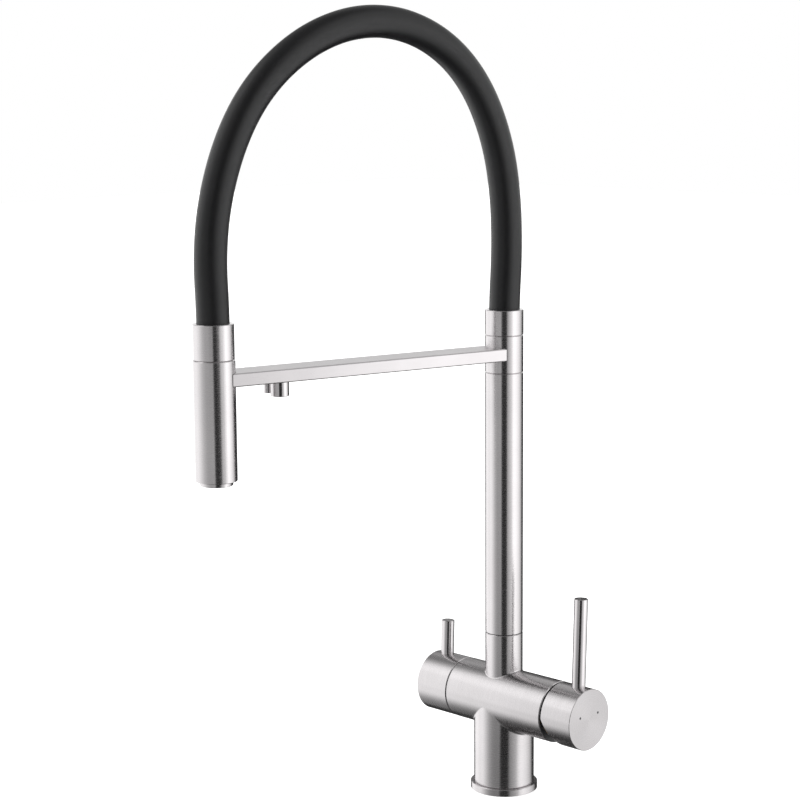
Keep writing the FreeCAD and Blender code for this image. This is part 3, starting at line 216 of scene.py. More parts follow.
# degrees round from the camera (minus is to the camera's left), and the light that comes from there
TENT_WALLS = [
    (-180, 0.50), (-175, 0.03), (-152, 0.03), (-146, 1.40), (-128, 1.60), (-106, 1.45), (-89, 1.55), (-74, 1.22),
    (-60, 0.78), (-47, 0.56), (-34, 0.54), (-20, 0.62), (-17, 0.03), (13, 0.03), (16, 0.62), (22, 0.74),
    (34, 1.02), (45, 1.25), (52, 1.92), (66, 2.00), (80, 1.75), (95, 1.45), (108, 1.05), (122, 0.60),
    (130, 0.03), (176, 0.03), (180, 0.50),
]
# how much of that light the worktop gives back
WORKTOP_SHADE = [
    (-180, 1.00), (-95, 1.00), (-70, 0.74), (-44, 0.56), (-32, 0.46), (20, 0.48), (38, 0.56), (51, 0.68),
    (64, 0.82), (90, 0.86), (110, 0.92), (140, 1.00),
]
# the far room, straight across and higher up
FAR_WALLS = [
    (-180, 1.15), (-150, 1.15), (-128, 1.40), (-106, 1.45), (-89, 1.55), (-74, 1.22), (-60, 0.78), (-47, 0.56),
    (-20, 0.62), (-17, 0.03), (20, 0.03), (24, 0.62), (34, 1.02), (52, 1.92), (80, 1.75), (95, 1.45),
    (120, 1.15), (180, 1.15),
]
UPPER_WALLS = [
    (-180, 0.62), (-170, 0.55), (-160, 0.36), (-147, 0.28), (-138, 0.44), (-128, 0.72), (-115, 1.30),
    (-101, 1.75), (-84, 1.62), (-60, 0.75), (-20, 0.45), (-17, 0.03), (20, 0.03), (24, 0.45), (52, 1.30),
    (80, 1.30), (110, 0.80), (150, 0.50), (180, 0.62),
]
BRIGHTEST = 2.0
# how steeply up (1) or down (-1) a reflection looks where one thing gives way to the next
UPPER_RISE = (0.32, 0.46)
CEILING_RISE = (0.80, 0.92)
TENT_TOP_RISE = (0.42, 0.50)
WORKTOP_RISE = (-0.30, -0.10)
TABLE_RISE = (-0.84, -0.38)
CEILING_LIGHT = 0.26
TABLE_LIGHT = 0.06


def look(tree, way):
    """The turn round the room (0 to 1, with 0.5 towards the camera) and the rise of a way to look."""
    toward = add_node(tree, "ShaderNodeVectorMath", {0: way, 1: FRONT}, operation="DOT_PRODUCT")
    aside = add_node(tree, "ShaderNodeVectorMath", {0: way, 1: FRONT_RIGHT}, operation="DOT_PRODUCT")
    angle = add_node(tree, "ShaderNodeMath", {0: aside.outputs["Value"], 1: toward.outputs["Value"]},
                     operation="ARCTAN2")
    turn = add_node(tree, "ShaderNodeMapRange", {"Value": angle.outputs[0], "From Min": -math.pi,
                    "From Max": math.pi})
    rise = add_node(tree, "ShaderNodeSeparateXYZ", {0: way})
    return turn.outputs[0], rise.outputs["Z"]


def round_the_room(tree, turn, stops, brightest=BRIGHTEST):
    """Light that changes with the turn, from a list of (degrees, light), as a share of the brightest."""
    band = add_node(tree, "ShaderNodeValToRGB", {"Fac": turn})
    ramp = band.color_ramp
    for place, (degrees, light) in enumerate(stops):
        position = degrees / 360 + 0.5
        stop = ramp.elements[place] if place < 2 else ramp.elements.new(position)
        stop.position = position
        stop.color = (light / brightest, light / brightest, light / brightest, 1)
    return band.outputs["Color"]


def from_rise(tree, rise, change, below, above):
    """One light below the change's first rise and another above its second, softly joined."""
    share = add_node(tree, "ShaderNodeMapRange", {"Value": rise, "From Min": change[0],
                     "From Max": change[1]}, interpolation_type="SMOOTHSTEP")
    mixed = add_node(tree, "ShaderNodeMixRGB", {"Fac": share.outputs[0], "Color1": below, "Color2": above})
    return mixed.outputs["Color"]


def grey(light):
    """An even light as a share of the brightest."""
    return (light / BRIGHTEST, light / BRIGHTEST, light / BRIGHTEST, 1)


print("walls from", TENT_WALLS[0][0], "to", TENT_WALLS[-1][0], "degrees")

# %% The far room, in the world
world = bpy.data.worlds.new("far room, white to everything but reflections")
world.use_nodes = True
bpy.context.scene.world = world
tree = world.node_tree
tree.nodes.clear()
turn, rise = look(tree, add_node(tree, "ShaderNodeTexCoord").outputs["Generated"])
walls = from_rise(tree, rise, UPPER_RISE, round_the_room(tree, turn, FAR_WALLS),
                  round_the_room(tree, turn, UPPER_WALLS))
far_room = from_rise(tree, rise, CEILING_RISE, walls, grey(CEILING_LIGHT))
glow = add_node(tree, "ShaderNodeBackground", {"Color": far_room, "Strength": BRIGHTEST})
white = add_node(tree, "ShaderNodeBackground", {"Color": (1, 1, 1, 1), "Strength": 1.0})
seen = add_node(tree, "ShaderNodeLightPath")
shown = add_node(tree, "ShaderNodeMixShader", {0: seen.outputs["Is Glossy Ray"], 1: white.outputs[0],
                 2: glow.outputs[0]})
add_node(tree, "ShaderNodeOutputWorld", {"Surface": shown.outputs[0]})
print("nodes in the far room:", len(tree.nodes))

# %% The tent's material
tent_paint, tree = new_material("nylon tent, white, lit from outside and open above")
tent_paint.cycles.emission_sampling = "NONE"
spot = add_node(tree, "ShaderNodeTexCoord").outputs["Object"]
turn, rise = look(tree, add_node(tree, "ShaderNodeVectorMath", {0: spot}, operation="NORMALIZE").outputs[0])
walls = round_the_room(tree, turn, TENT_WALLS)
on_worktop = add_node(tree, "ShaderNodeMixRGB", {"Fac": 1.0, "Color1": walls,
                      "Color2": round_the_room(tree, turn, WORKTOP_SHADE, 1.0)}, blend_type="MULTIPLY")
low_walls = from_rise(tree, rise, WORKTOP_RISE, on_worktop.outputs["Color"], walls)
light = from_rise(tree, rise, TABLE_RISE, grey(TABLE_LIGHT), low_walls)
glow = add_node(tree, "ShaderNodeEmission", {"Color": light, "Strength": BRIGHTEST})
clear = add_node(tree, "ShaderNodeBsdfTransparent")
below_top = add_node(tree, "ShaderNodeMapRange", {
    "Value": rise, "From Min": TENT_TOP_RISE[0], "From Max": TENT_TOP_RISE[1], "To Min": 1.0,
    "To Max": 0.0}, interpolation_type="SMOOTHSTEP")
seen = add_node(tree, "ShaderNodeLightPath")
solid = add_node(tree, "ShaderNodeMath", {0: below_top.outputs[0], 1: seen.outputs["Is Glossy Ray"]},
                 operation="MULTIPLY")
shown = add_node(tree, "ShaderNodeMixShader", {0: solid.outputs[0], 1: clear.outputs[0], 2: glow.outputs[0]})
add_node(tree, "ShaderNodeOutputMaterial", {"Surface": shown.outputs[0]})

# %% The tent itself
TENT_RADIUS = 0.65
bpy.ops.object.select_all(action="DESELECT")
bpy.ops.mesh.primitive_uv_sphere_add(segments=96, ring_count=48, radius=TENT_RADIUS,
                                     location=(0, 0, AXIS_HEIGHT))
tent = bpy.context.view_layer.objects.active
tent.name = "light_tent"
tent.data.materials.append(tent_paint)
print("tent radius in m:", TENT_RADIUS)

# %% Floor
FLOOR_SIZE = 12
FLOOR_DROP = 0.2 * MM
bpy.ops.mesh.primitive_plane_add(size=FLOOR_SIZE, location=(0, 0, -FLOOR_DROP))
floor = bpy.context.view_layer.objects.active
floor.name = "studio_floor"
floor_paint, tree = new_material("matt white laminate floor")
seen = add_node(tree, "ShaderNodeLightPath")
matt = add_node(tree, "ShaderNodeBsdfDiffuse", {"Color": linear("#F4F4F4")})
lift = add_node(tree, "ShaderNodeEmission", {"Color": (1, 1, 1, 1), "Strength": 0.55})
both = add_node(tree, "ShaderNodeAddShader", {0: matt.outputs[0], 1: lift.outputs[0]})
shown = add_node(tree, "ShaderNodeMixShader", {0: seen.outputs["Is Camera Ray"], 1: matt.outputs[0],
                 2: both.outputs[0]})
clear = add_node(tree, "ShaderNodeBsdfTransparent")
mirrored = add_node(tree, "ShaderNodeMixShader", {0: seen.outputs["Is Glossy Ray"], 1: shown.outputs[0],
                    2: clear.outputs[0]})
add_node(tree, "ShaderNodeOutputMaterial", {"Surface": mirrored.outputs[0]})
floor.data.materials.append(floor_paint)
print("floor size in m:", FLOOR_SIZE)

# %% Overhead softbox
lamp_data = bpy.data.lights.new("overhead_softbox", "AREA")
lamp_data.shape = "RECTANGLE"
lamp_data.size = 1.2
lamp_data.size_y = 0.8
lamp_data.energy = 4
lamp = bpy.data.objects.new("overhead_softbox", lamp_data)
bpy.context.scene.collection.objects.link(lamp)
lamp.location = (-0.9, -0.6, 1.6)
lamp.rotation_euler = (Vector((0, 0, 0.3)) - lamp.location).to_track_quat("-Z", "Y").to_euler()
lamp.visible_glossy = False
print("lamp energy in W:", lamp_data.energy)

# %% [markdown]
# ## Brushed stainless steel
# The visible metal is 304 stainless steel. Turned parts are brushed on a lathe, so the fine lines
# run round each tube. Such lines smear a reflection along the tube and leave it sharp across, which
# is why the tubes show long crisp stripes. In Blender that is the anisotropy of the metal, with a
# tangent that runs round the axis. The lines themselves are a noise stretched round the axis.

# %% Brushed steel, turned round an axis
STEEL = tuple(linear("#C8C5C6")[:3])
BRUSH_LINE = 0.35 * MM
# painted shade: the share of its colour that the cap's end face keeps, to dim its reflection
PAINTED_END_SHADE = 0.82
# most of a noise lies between these two, so its whole effect is spread over them
NOISE_SPAN = {"From Min": 0.3, "From Max": 0.7}
UP = (0.0, 0.0, 1.0)
ACROSS = (1.0, 0.0, 0.0)


def turned_lines(tree, axis, centre):
    """The way the brush ran, and a place that changes fast across its lines and slowly along them."""
    place = add_node(tree, "ShaderNodeTexCoord").outputs["Object"]
    arm = add_node(tree, "ShaderNodeVectorMath", {0: place, 1: centre}, operation="SUBTRACT")
    along = add_node(tree, "ShaderNodeVectorMath", {0: arm.outputs[0], 1: axis}, operation="DOT_PRODUCT")
    on_axis = add_node(tree, "ShaderNodeVectorMath", {0: axis, "Scale": along.outputs["Value"]},
                       operation="SCALE")
    out = add_node(tree, "ShaderNodeVectorMath", {0: arm.outputs[0], 1: on_axis.outputs[0]},
                   operation="SUBTRACT")
    radius = add_node(tree, "ShaderNodeVectorMath", {0: out.outputs[0]}, operation="LENGTH")
    travel = add_node(tree, "ShaderNodeMath", {0: along.outputs["Value"], 1: radius.outputs["Value"]},
                      operation="ADD")
    lines = add_node(tree, "ShaderNodeVectorMath", {0: axis, "Scale": travel.outputs[0]}, operation="SCALE")
    fine = add_node(tree, "ShaderNodeVectorMath", {0: lines.outputs[0], "Scale": 1 / BRUSH_LINE},
                    operation="SCALE")
    spoke = add_node(tree, "ShaderNodeVectorMath", {0: out.outputs[0]}, operation="NORMALIZE")
    grain_place = add_node(tree, "ShaderNodeVectorMath", {0: fine.outputs[0], 1: spoke.outputs[0]},
                           operation="ADD")
    brush_way = add_node(tree, "ShaderNodeVectorMath", {0: axis, 1: out.outputs[0]},
                         operation="CROSS_PRODUCT")
    return brush_way.outputs[0], grain_place.outputs[0]


def brushed_metal(tree, brush_way, grain_place, roughness, anisotropy, colour=STEEL, depth=0.06,
                  painted_shade_beyond=None):
    """Metal whose reflections smear across the brush lines, which are so deep. Beyond that place on X the colour
    is darkened: painted shade that dims the reflection of an end face."""
    surface = add_node(tree, "ShaderNodeTexCoord")
    smear = add_node(tree, "ShaderNodeVectorMath", {0: surface.outputs["Normal"], 1: brush_way},
                     operation="CROSS_PRODUCT")
    smear_way = add_node(tree, "ShaderNodeVectorTransform", {0: smear.outputs[0]}, vector_type="VECTOR",
                         convert_from="OBJECT", convert_to="WORLD")
    grain = add_node(tree, "ShaderNodeTexNoise", {"Vector": grain_place, "Scale": 1.0, "Detail": 3.0,
                     "Roughness": 0.6})
    clouds = add_node(tree, "ShaderNodeTexNoise", {"Vector": surface.outputs["Object"], "Scale": 45.0,
                      "Detail": 2.0})
    rough = add_node(tree, "ShaderNodeMapRange", {"Value": grain.outputs["Fac"], **NOISE_SPAN,
                     "To Min": roughness - 0.03, "To Max": roughness + 0.05})
    tone_and_end_shade = add_node(tree, "ShaderNodeMapRange", {"Value": clouds.outputs["Fac"], **NOISE_SPAN,
                    "To Min": 0.95, "To Max": 1.0})
    # painted shade: past that place on X the colour is darkened, so the end face reflects less light
    if painted_shade_beyond:
        across = add_node(tree, "ShaderNodeSeparateXYZ", {0: surface.outputs["Object"]})
        end_shade = add_node(tree, "ShaderNodeMapRange", {"Value": across.outputs["X"], "From Min": painted_shade_beyond,
                        "From Max": painted_shade_beyond + 0.1 * MM, "To Min": 1.0, "To Max": PAINTED_END_SHADE})
        tone_and_end_shade = add_node(tree, "ShaderNodeMath", {0: tone_and_end_shade.outputs[0], 1: end_shade.outputs[0]},
                        operation="MULTIPLY")
    shade = add_node(tree, "ShaderNodeVectorMath", {0: colour, "Scale": tone_and_end_shade.outputs[0]}, operation="SCALE")
    ridges = add_node(tree, "ShaderNodeBump", {"Height": grain.outputs["Fac"], "Strength": depth,
                      "Distance": 0.02 * MM})
    return add_node(tree, "ShaderNodeBsdfPrincipled", {
        "Base Color": shade.outputs[0], "Roughness": rough.outputs[0], "Metallic": 1.0,
        "Anisotropic": anisotropy, "Tangent": smear_way.outputs[0], "Normal": ridges.outputs[0]})


def lathe_metal(name, axis, centre, roughness=0.25, anisotropy=0.8, colour=STEEL, depth=0.06,
                painted_shade_beyond=None):
    """A metal worked on a lathe, round an axis through a point. It is brushed stainless steel if not told."""
    material, tree = new_material(name)
    brush_way, grain_place = turned_lines(tree, axis, centre)
    metal = brushed_metal(tree, brush_way, grain_place, roughness, anisotropy, colour, depth, painted_shade_beyond)
    add_node(tree, "ShaderNodeOutputMaterial", {"Surface": metal.outputs[0]})
    return material


upright_steel = lathe_metal("304 stainless steel, lathe brushed, upright", UP, (0, 0, 0))
head_steel = lathe_metal("304 stainless steel, lathe brushed, spray head", UP, tuple(HEAD_CENTRE))
# the lever cap's end face gets painted shade, a darker colour from just behind the face outwards
cap_steel = lathe_metal("304 stainless steel, lathe brushed, lever caps", ACROSS, (0, 0, AXIS_HEIGHT),
                        painted_shade_beyond=CAP_FACE - 0.2 * MM)
print("brush lines:", round(BRUSH_LINE / MM, 2), "mm apart")

# %% The body, brushed two ways
body_steel, tree = new_material("304 stainless steel, lathe brushed, tee body")
upright_way, upright_grain = turned_lines(tree, UP, (0, 0, 0))
cross_way, cross_grain = turned_lines(tree, ACROSS, (0, 0, AXIS_HEIGHT))
place = add_node(tree, "ShaderNodeTexCoord").outputs["Object"]
arm = add_node(tree, "ShaderNodeVectorMath", {0: place, 1: (0, 0, AXIS_HEIGHT)}, operation="SUBTRACT")
flat = add_node(tree, "ShaderNodeVectorMath", {0: arm.outputs[0], 1: (0, 1, 1)}, operation="MULTIPLY")
away = add_node(tree, "ShaderNodeVectorMath", {0: flat.outputs[0]}, operation="LENGTH")
on_cross = add_node(tree, "ShaderNodeMath", {0: away.outputs["Value"], 1: CROSS_RADIUS + 0.06 * MM},
                    operation="LESS_THAN")
brush_way = add_node(tree, "ShaderNodeMixRGB", {"Fac": on_cross.outputs[0], "Color1": upright_way,
                     "Color2": cross_way})
grain_place = add_node(tree, "ShaderNodeMixRGB", {"Fac": on_cross.outputs[0], "Color1": upright_grain,
                       "Color2": cross_grain})
metal = brushed_metal(tree, brush_way.outputs[0], grain_place.outputs[0], roughness=0.25, anisotropy=0.82)
add_node(tree, "ShaderNodeOutputMaterial", {"Surface": metal.outputs[0]})
print("the cross barrel's brush lines reach to mm:", round(CROSS_RADIUS / MM, 2))

# %% The arm, brushed along its length
arm_steel, tree = new_material("304 stainless steel, belt brushed, arm")
place = add_node(tree, "ShaderNodeTexCoord").outputs["Object"]
along = add_node(tree, "ShaderNodeVectorMath", {0: place, 1: tuple(ARM_WAY)}, operation="DOT_PRODUCT")
aside = add_node(tree, "ShaderNodeVectorMath", {0: place, 1: tuple(ARM_SIDE)}, operation="DOT_PRODUCT")
up = add_node(tree, "ShaderNodeSeparateXYZ", {0: place})
stretched = add_node(tree, "ShaderNodeCombineXYZ", {0: along.outputs["Value"], 1: aside.outputs["Value"],
                     2: up.outputs["Z"]})
BELT_LINE_LENGTH = 25 * MM
lines = add_node(tree, "ShaderNodeMapping", {"Vector": stretched.outputs[0],
                 "Scale": (1 / BELT_LINE_LENGTH, 1 / BRUSH_LINE, 1 / BRUSH_LINE)})
# painted shade: the arm's steel is made 7 % darker than the tubes' to dim its bright reflections
ARM_STEEL_WITH_PAINTED_SHADE = tuple(0.93 * part for part in STEEL)
metal = brushed_metal(tree, tuple(ARM_WAY), lines.outputs[0], roughness=0.30, anisotropy=0.6,
                      colour=ARM_STEEL_WITH_PAINTED_SHADE)
add_node(tree, "ShaderNodeOutputMaterial", {"Surface": metal.outputs[0]})
print("belt lines are mm long:", round(BELT_LINE_LENGTH / MM))

# %% Finishes of the CAD pieces
def finish(material, *names):
    """Gives CAD pieces a material in place of the plain one."""
    for name in names:
        data = nodes[name].data
        data.materials.clear()
        data.materials.append(material)


finish(upright_steel, "base_ring", "riser_tube", "arm_collar", "riser_ferrule")
finish(body_steel, "barrel_foot", "tap_body", "neck_sleeve", "cartridge_sleeve", "valve_sleeve")
finish(arm_steel, "arm_bar")
finish(head_steel, "head_ferrule", "head_shell", "aerator_housing")
finish(cap_steel, "mixer_cap", "filter_knob")
for name in ("mixer_pin", "filter_pin", "filter_nozzle", "outlet_lock_screw"):
    low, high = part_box(name)
    middle = tuple((low + high) / 2)
    finish(lathe_metal(f"304 stainless steel, fine turned, {name}", UP, middle, roughness=0.17), name)
print("steel finishes:", len([name for name in bpy.data.materials.keys() if name.startswith("304")]))

# %% [markdown]
# ## Brass
# The parts that carry water are turned and drilled from CW617N, the usual brass for taps. It comes
# off the lathe bright and yellow, with the tool's feed marks as fine rings, and it is never brushed
# or plated where nobody looks. The same lathe finish as the steel serves, with a brass colour, a
# lower roughness and deeper lines.

# %% Brass parts
BRASS = tuple(linear("#D9B878")[:3])
TURNED = {"roughness": 0.22, "anisotropy": 0.6, "colour": BRASS, "depth": 0.4}
finish(lathe_metal("CW617N brass, turned, upright parts", UP, (0, 0, 0), **TURNED),
       "base_insert", "spout_spigot", "water_manifold")
finish(lathe_metal("CW617N brass, turned, head core", UP, tuple(HEAD_CENTRE), **TURNED), "head_core")
finish(lathe_metal("CW617N brass, turned, cross parts", ACROSS, (0, 0, AXIS_HEIGHT), **TURNED),
       "mixer_nut", "filter_valve", "filter_spindle")
print("brass colour in linear light:", [round(value, 3) for value in BRASS])

# %% [markdown]
# ## Screws, pins and magnets
# Grub screws, studs and the pivot pin are bought in A2 stainless steel. They are rolled and
# machined, so they are greyer and more even than the brushed tubes. The magnets have a nickel
# plating with a soft warm shine. Both are a metal with a little mottling in its gloss, from a noise
# of about half a millimetre, which is what handling leaves on a small bright part.

# %% Bought metal parts
MOTTLE = 0.5 * MM


def plain_metal(name, hex_colour, roughness):
    """A machined or plated metal with faint mottling."""
    material, tree = new_material(name)
    place = add_node(tree, "ShaderNodeTexCoord").outputs["Object"]
    spots = add_node(tree, "ShaderNodeTexNoise", {"Vector": place, "Scale": 1 / MOTTLE, "Detail": 3.0})
    rough = add_node(tree, "ShaderNodeMapRange", {"Value": spots.outputs["Fac"], **NOISE_SPAN,
                     "To Min": roughness - 0.04, "To Max": roughness + 0.06})
    dents = add_node(tree, "ShaderNodeBump", {"Height": spots.outputs["Fac"], "Strength": 0.1,
                     "Distance": 0.01 * MM})
    metal = add_node(tree, "ShaderNodeBsdfPrincipled", {
        "Base Color": linear(hex_colour), "Metallic": 1.0, "Roughness": rough.outputs[0],
        "Normal": dents.outputs[0]})
    add_node(tree, "ShaderNodeOutputMaterial", {"Surface": metal.outputs[0]})
    return material


screw_steel = plain_metal("A2 stainless steel, machined", "#B4B2B0", 0.24)
finish(screw_steel, "swivel_stop_screw", "mixer_pin_stud", "mixer_grub_screw", "filter_pin_stud",
       "filter_grub_screw", "stem_pin", "mixer_stem")
finish(plain_metal("neodymium magnet, nickel plated", "#CFC8BC", 0.18), "dock_magnet", "head_magnet")
print("mottling in mm:", MOTTLE / MM)

# %% [markdown]
# ## Plastics and ceramic
# The cartridge is moulded in a pale engineering plastic that stands hot water, the bushes and the
# slip rings in black acetal, the strainers in grey acetal. A moulded face is smooth with the fine
# pebble of a spark-eroded mould, about 0.25 mm across. The water tubes are polyethylene, which lets
# a little light in. The discs are alumina ceramic, lapped until they seal against each other, so
# they shine like glazed china.

# %% Moulded plastics
def moulded(name, hex_colour, roughness, pebble=0.25 * MM, scatter=0.0):
    """A moulded plastic with the pebble of its mould. The more scatter, the more light goes into it."""
    material, tree = new_material(name)
    place = add_node(tree, "ShaderNodeTexCoord").outputs["Object"]
    pebbles = add_node(tree, "ShaderNodeTexVoronoi", {"Vector": place, "Scale": 1 / pebble})
    flow = add_node(tree, "ShaderNodeTexNoise", {"Vector": place, "Scale": 1 / (4 * MM), "Detail": 2.0})
    rough = add_node(tree, "ShaderNodeMapRange", {"Value": flow.outputs["Fac"], **NOISE_SPAN,
                     "To Min": roughness - 0.04, "To Max": roughness + 0.05})
    grain = add_node(tree, "ShaderNodeBump", {"Height": pebbles.outputs["Distance"], "Strength": 0.12,
                     "Distance": 0.03 * MM})
    plastic = add_node(tree, "ShaderNodeBsdfPrincipled", {
        "Base Color": linear(hex_colour), "Roughness": rough.outputs[0], "IOR": 1.48,
        "Normal": grain.outputs[0], "Subsurface Weight": scatter, "Subsurface Scale": 1 * MM})
    add_node(tree, "ShaderNodeOutputMaterial", {"Surface": plastic.outputs[0]})
    return material


finish(moulded("PPS plastic, moulded, ivory", "#DAD8D0", 0.42), "mixer_cartridge", "mixer_turret",
       "check_valve")
finish(moulded("acetal, moulded, black", "#19191B", 0.36), "lower_swivel_bush", "upper_swivel_bush",
       "cap_glide_ring", "knob_glide_ring")
finish(moulded("acetal, moulded, grey", "#6E6E70", 0.40), "aerator_insert", "filter_aerator")
finish(moulded("polyethylene, extruded, natural", "#E4E8EC", 0.33, pebble=0.6 * MM, scatter=0.35),
       "filter_water_tube", "arm_water_tube")
print("materials so far:", len(bpy.data.materials))

# %% Ceramic discs
alumina, tree = new_material("alumina ceramic, lapped")
place = add_node(tree, "ShaderNodeTexCoord").outputs["Object"]
crystals = add_node(tree, "ShaderNodeTexVoronoi", {"Vector": place, "Scale": 1 / (0.12 * MM)})
shade = add_node(tree, "ShaderNodeMapRange", {"Value": crystals.outputs["Distance"], "To Min": 0.96,
                 "To Max": 1.0})
white = add_node(tree, "ShaderNodeVectorMath", {0: linear("#F0EEE8")[:3], "Scale": shade.outputs[0]},
                 operation="SCALE")
glaze = add_node(tree, "ShaderNodeBsdfPrincipled", {
    "Base Color": white.outputs[0], "Roughness": 0.12, "IOR": 1.76, "Subsurface Weight": 0.1,
    "Subsurface Scale": 0.5 * MM})
add_node(tree, "ShaderNodeOutputMaterial", {"Surface": glaze.outputs[0]})
finish(alumina, "mixer_fixed_disc", "mixer_moving_disc", "filter_fixed_disc", "filter_turning_disc")

# %% [markdown]
# ## Rubber and silicone
# The seals and the gasket are EPDM: dead black, matt, with a bloom of talc that shows as slightly
# paler clouds of about 3 mm. The hose sleeve is silicone, a little glossier and smoother, with a
# fine haze in its gloss that dust and handling leave on it.

# %% EPDM seals
epdm, tree = new_material("EPDM rubber, moulded, black")
place = add_node(tree, "ShaderNodeTexCoord").outputs["Object"]
bloom = add_node(tree, "ShaderNodeTexNoise", {"Vector": place, "Scale": 1 / (3 * MM), "Detail": 4.0})
shade = add_node(tree, "ShaderNodeMixRGB", {"Fac": bloom.outputs["Fac"], "Color1": linear("#141414"),
                 "Color2": linear("#262626")})
skin = add_node(tree, "ShaderNodeTexNoise", {"Vector": place, "Scale": 1 / (0.2 * MM), "Detail": 2.0})
pores = add_node(tree, "ShaderNodeBump", {"Height": skin.outputs["Fac"], "Strength": 0.2,
                 "Distance": 0.03 * MM})
rubber = add_node(tree, "ShaderNodeBsdfPrincipled", {
    "Base Color": shade.outputs[0], "Roughness": 0.62, "IOR": 1.52, "Normal": pores.outputs[0]})
add_node(tree, "ShaderNodeOutputMaterial", {"Surface": rubber.outputs[0]})
finish(epdm, "base_gasket", "insert_seal", "cartridge_seals", "filter_valve_seals", "swivel_seals",
       "manifold_seal", "head_seal")
bare = sorted(name for name, node in nodes.items()
              if not node.hide_render and node.data.materials and "," not in node.data.materials[0].name)
print("nodes still in their plain material:", bare)

# %% Black silicone
silicone, tree = new_material("silicone rubber, extruded, black")
place = add_node(tree, "ShaderNodeTexCoord").outputs["Object"]
dust = add_node(tree, "ShaderNodeTexNoise", {"Vector": place, "Scale": 900.0, "Detail": 2.0})
rough = add_node(tree, "ShaderNodeMapRange", {"Value": dust.outputs["Fac"], **NOISE_SPAN, "To Min": 0.36,
                 "To Max": 0.44})
rubber = add_node(tree, "ShaderNodeBsdfPrincipled", {
    "Base Color": linear("#101012"), "Roughness": rough.outputs[0], "IOR": 1.43})
add_node(tree, "ShaderNodeOutputMaterial", {"Surface": rubber.outputs[0]})
hose.data.materials.clear()
hose.data.materials.append(silicone)
print("finish of the sleeve:", silicone.name)

# %% [markdown]
# ## Small things that the hand finds
# Three details are too small for the CAD model. The face of the lever cap has two dots that mark the
# warm and the cold side; in the photograph both are dark grey, so they are here too. The spray face
# has soft nubs round its holes, so that lime can be rubbed off. The stop screw at the back of the
# neck has a hexagon socket. Each is modelled once, from a primitive that is then inset, cut or
# bevelled, because a bare cylinder has edges that no real part has.

# %% Helper for small pieces
def ready(thing, name, body, material):
    """Rounds off a small piece's edges, gives it its finish and lets it ride on its body."""
    only(thing)
    bpy.ops.object.transform_apply(location=True, rotation=True, scale=True)
    soft = thing.modifiers.new("soft_edges", "BEVEL")
    soft.width = 0.08 * MM
    soft.segments = 3
    soft.limit_method = "ANGLE"
    soft.angle_limit = math.radians(40)
    bpy.ops.object.modifier_apply(modifier=soft.name)
    bpy.ops.object.shade_smooth_by_angle(angle=math.radians(50))
    thing.name = name
    thing.data.materials.clear()
    thing.data.materials.append(material)
    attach(thing, body)


# %% Two dots on the cap
enamel, tree = new_material("enamel paint, baked, dark grey")
place = add_node(tree, "ShaderNodeTexCoord").outputs["Object"]
peel = add_node(tree, "ShaderNodeTexNoise", {"Vector": place, "Scale": 1 / (0.3 * MM), "Detail": 1.0})
skin = add_node(tree, "ShaderNodeBump", {"Height": peel.outputs["Fac"], "Strength": 0.1,
                "Distance": 0.02 * MM})
rough = add_node(tree, "ShaderNodeMapRange", {"Value": peel.outputs["Fac"], "To Min": 0.25,
                 "To Max": 0.40})
paint = add_node(tree, "ShaderNodeBsdfPrincipled", {
    "Base Color": linear("#2C2C2E"), "Roughness": rough.outputs[0], "IOR": 1.52, "Normal": skin.outputs[0]})
add_node(tree, "ShaderNodeOutputMaterial", {"Surface": paint.outputs[0]})
DOT_SPREAD = 9.9 * MM
DOT_RISE = 3.4 * MM
DOT_RADIUS = 0.95 * MM
DOT_THICK = 0.4 * MM
DOT_PROUD = 0.05 * MM
for name, side in (("warm_dot", -DOT_SPREAD), ("cold_dot", DOT_SPREAD)):
    bpy.ops.object.select_all(action="DESELECT")
    bpy.ops.mesh.primitive_cylinder_add(
        vertices=32, radius=DOT_RADIUS, depth=DOT_THICK, rotation=(0, math.radians(90), 0),
        location=(CAP_FACE + DOT_PROUD - DOT_THICK / 2, side, AXIS_HEIGHT + DOT_RISE))
    ready(bpy.context.view_layer.objects.active, name, "mixer_lever", enamel)
print("dots stand proud of the cap by mm:", round(DOT_PROUD / MM, 3))

# %% Soft nubs on the spray face
NUB_HEIGHT = 0.5 * MM
NUB_RADIUS_LOW = 1.15 * MM
NUB_RADIUS_HIGH = 1.45 * MM
NUB_WALL = 0.5 * MM
NUB_HOLLOW = 0.4 * MM
# radius of each ring of holes, and how many holes it has
HOLE_RINGS = [(3.345 * MM, 6), (6.691 * MM, 12)]
nub_silicone = moulded("silicone rubber, moulded, dark grey", "#3A3A3D", 0.45, 0.4 * MM)
bpy.ops.object.select_all(action="DESELECT")
bpy.ops.mesh.primitive_cone_add(vertices=32, radius1=NUB_RADIUS_LOW, radius2=NUB_RADIUS_HIGH,
                                depth=NUB_HEIGHT, location=(0, 0, SPRAY_FACE - NUB_HEIGHT / 2))
first_nub = bpy.context.view_layer.objects.active
bpy.ops.object.mode_set(mode="EDIT")
bpy.ops.mesh.select_all(action="DESELECT")
bpy.ops.mesh.select_mode(type="FACE")
sheet = bmesh.from_edit_mesh(first_nub.data)
sheet.faces.ensure_lookup_table()
lowest = min(sheet.faces, key=lambda face: face.calc_center_median().z)
lowest.select_set(True)
bmesh.update_edit_mesh(first_nub.data)
bpy.ops.mesh.inset(thickness=NUB_WALL)
bpy.ops.transform.translate(value=(0, 0, NUB_HOLLOW))
bpy.ops.object.mode_set(mode="OBJECT")
nubs = []
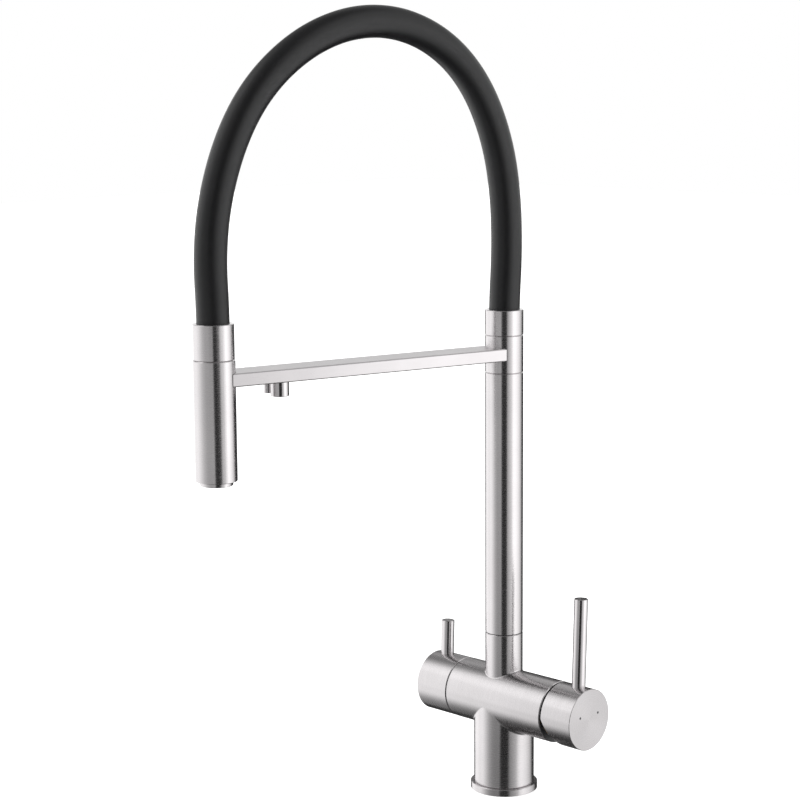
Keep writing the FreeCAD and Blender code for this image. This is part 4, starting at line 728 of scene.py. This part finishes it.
for reach, count in HOLE_RINGS:
    for place in range(count):
        turned_by = 2 * math.pi * place / count - SWIVEL
        nub = first_nub.copy()
        nub.data = first_nub.data.copy()
        bpy.context.scene.collection.objects.link(nub)
        nub.location += HEAD_CENTRE + Vector((math.cos(turned_by), math.sin(turned_by), 0)) * reach
        nubs.append(nub)
bpy.data.objects.remove(first_nub)
only(*nubs)
bpy.ops.object.join()
ready(bpy.context.view_layer.objects.active, "spray_nubs", "spray_head", nub_silicone)
print("nubs:", len(nubs))

# %% Stop screw with a hexagon socket
def bar_along_y(radius, start, end, sides=48):
    """A cylinder or prism along +Y at the stop screw's height."""
    bpy.ops.object.select_all(action="DESELECT")
    bpy.ops.mesh.primitive_cylinder_add(
        vertices=sides, radius=radius, depth=end - start, rotation=(math.radians(-90), 0, 0),
        location=(0, (start + end) / 2, STOP_SCREW_HEIGHT))
    return bpy.context.view_layer.objects.active


def combine(thing, tool, way):
    """Joins the tool to the thing (UNION) or cuts it out (DIFFERENCE), and uses the tool up."""
    only(thing)
    cut = thing.modifiers.new("cut", "BOOLEAN")
    cut.operation = way
    cut.object = tool
    bpy.ops.object.modifier_apply(modifier=cut.name)
    bpy.data.objects.remove(tool)


SCREW_FACE = NECK_RADIUS - 0.3 * MM
SCREW_RADIUS = 2.5 * MM
SCREW_LENGTH = 1.5 * MM
TIP_RADIUS = 1.4 * MM
TIP_START = 8.3 * MM
TIP_END = SCREW_FACE - 1.4 * MM
SOCKET_RADIUS = 1.45 * MM
SOCKET_DEPTH = 1.1 * MM
stop_screw = bar_along_y(SCREW_RADIUS, SCREW_FACE - SCREW_LENGTH, SCREW_FACE)
combine(stop_screw, bar_along_y(TIP_RADIUS, TIP_START, TIP_END), "UNION")
socket = bar_along_y(SOCKET_RADIUS, SCREW_FACE - SOCKET_DEPTH, SCREW_FACE + 0.5 * MM, sides=6)
combine(stop_screw, socket, "DIFFERENCE")
ready(stop_screw, "stop_screw", "root", screw_steel)
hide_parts("swivel_stop_screw")
print("stop screw faces:", len(stop_screw.data.polygons))
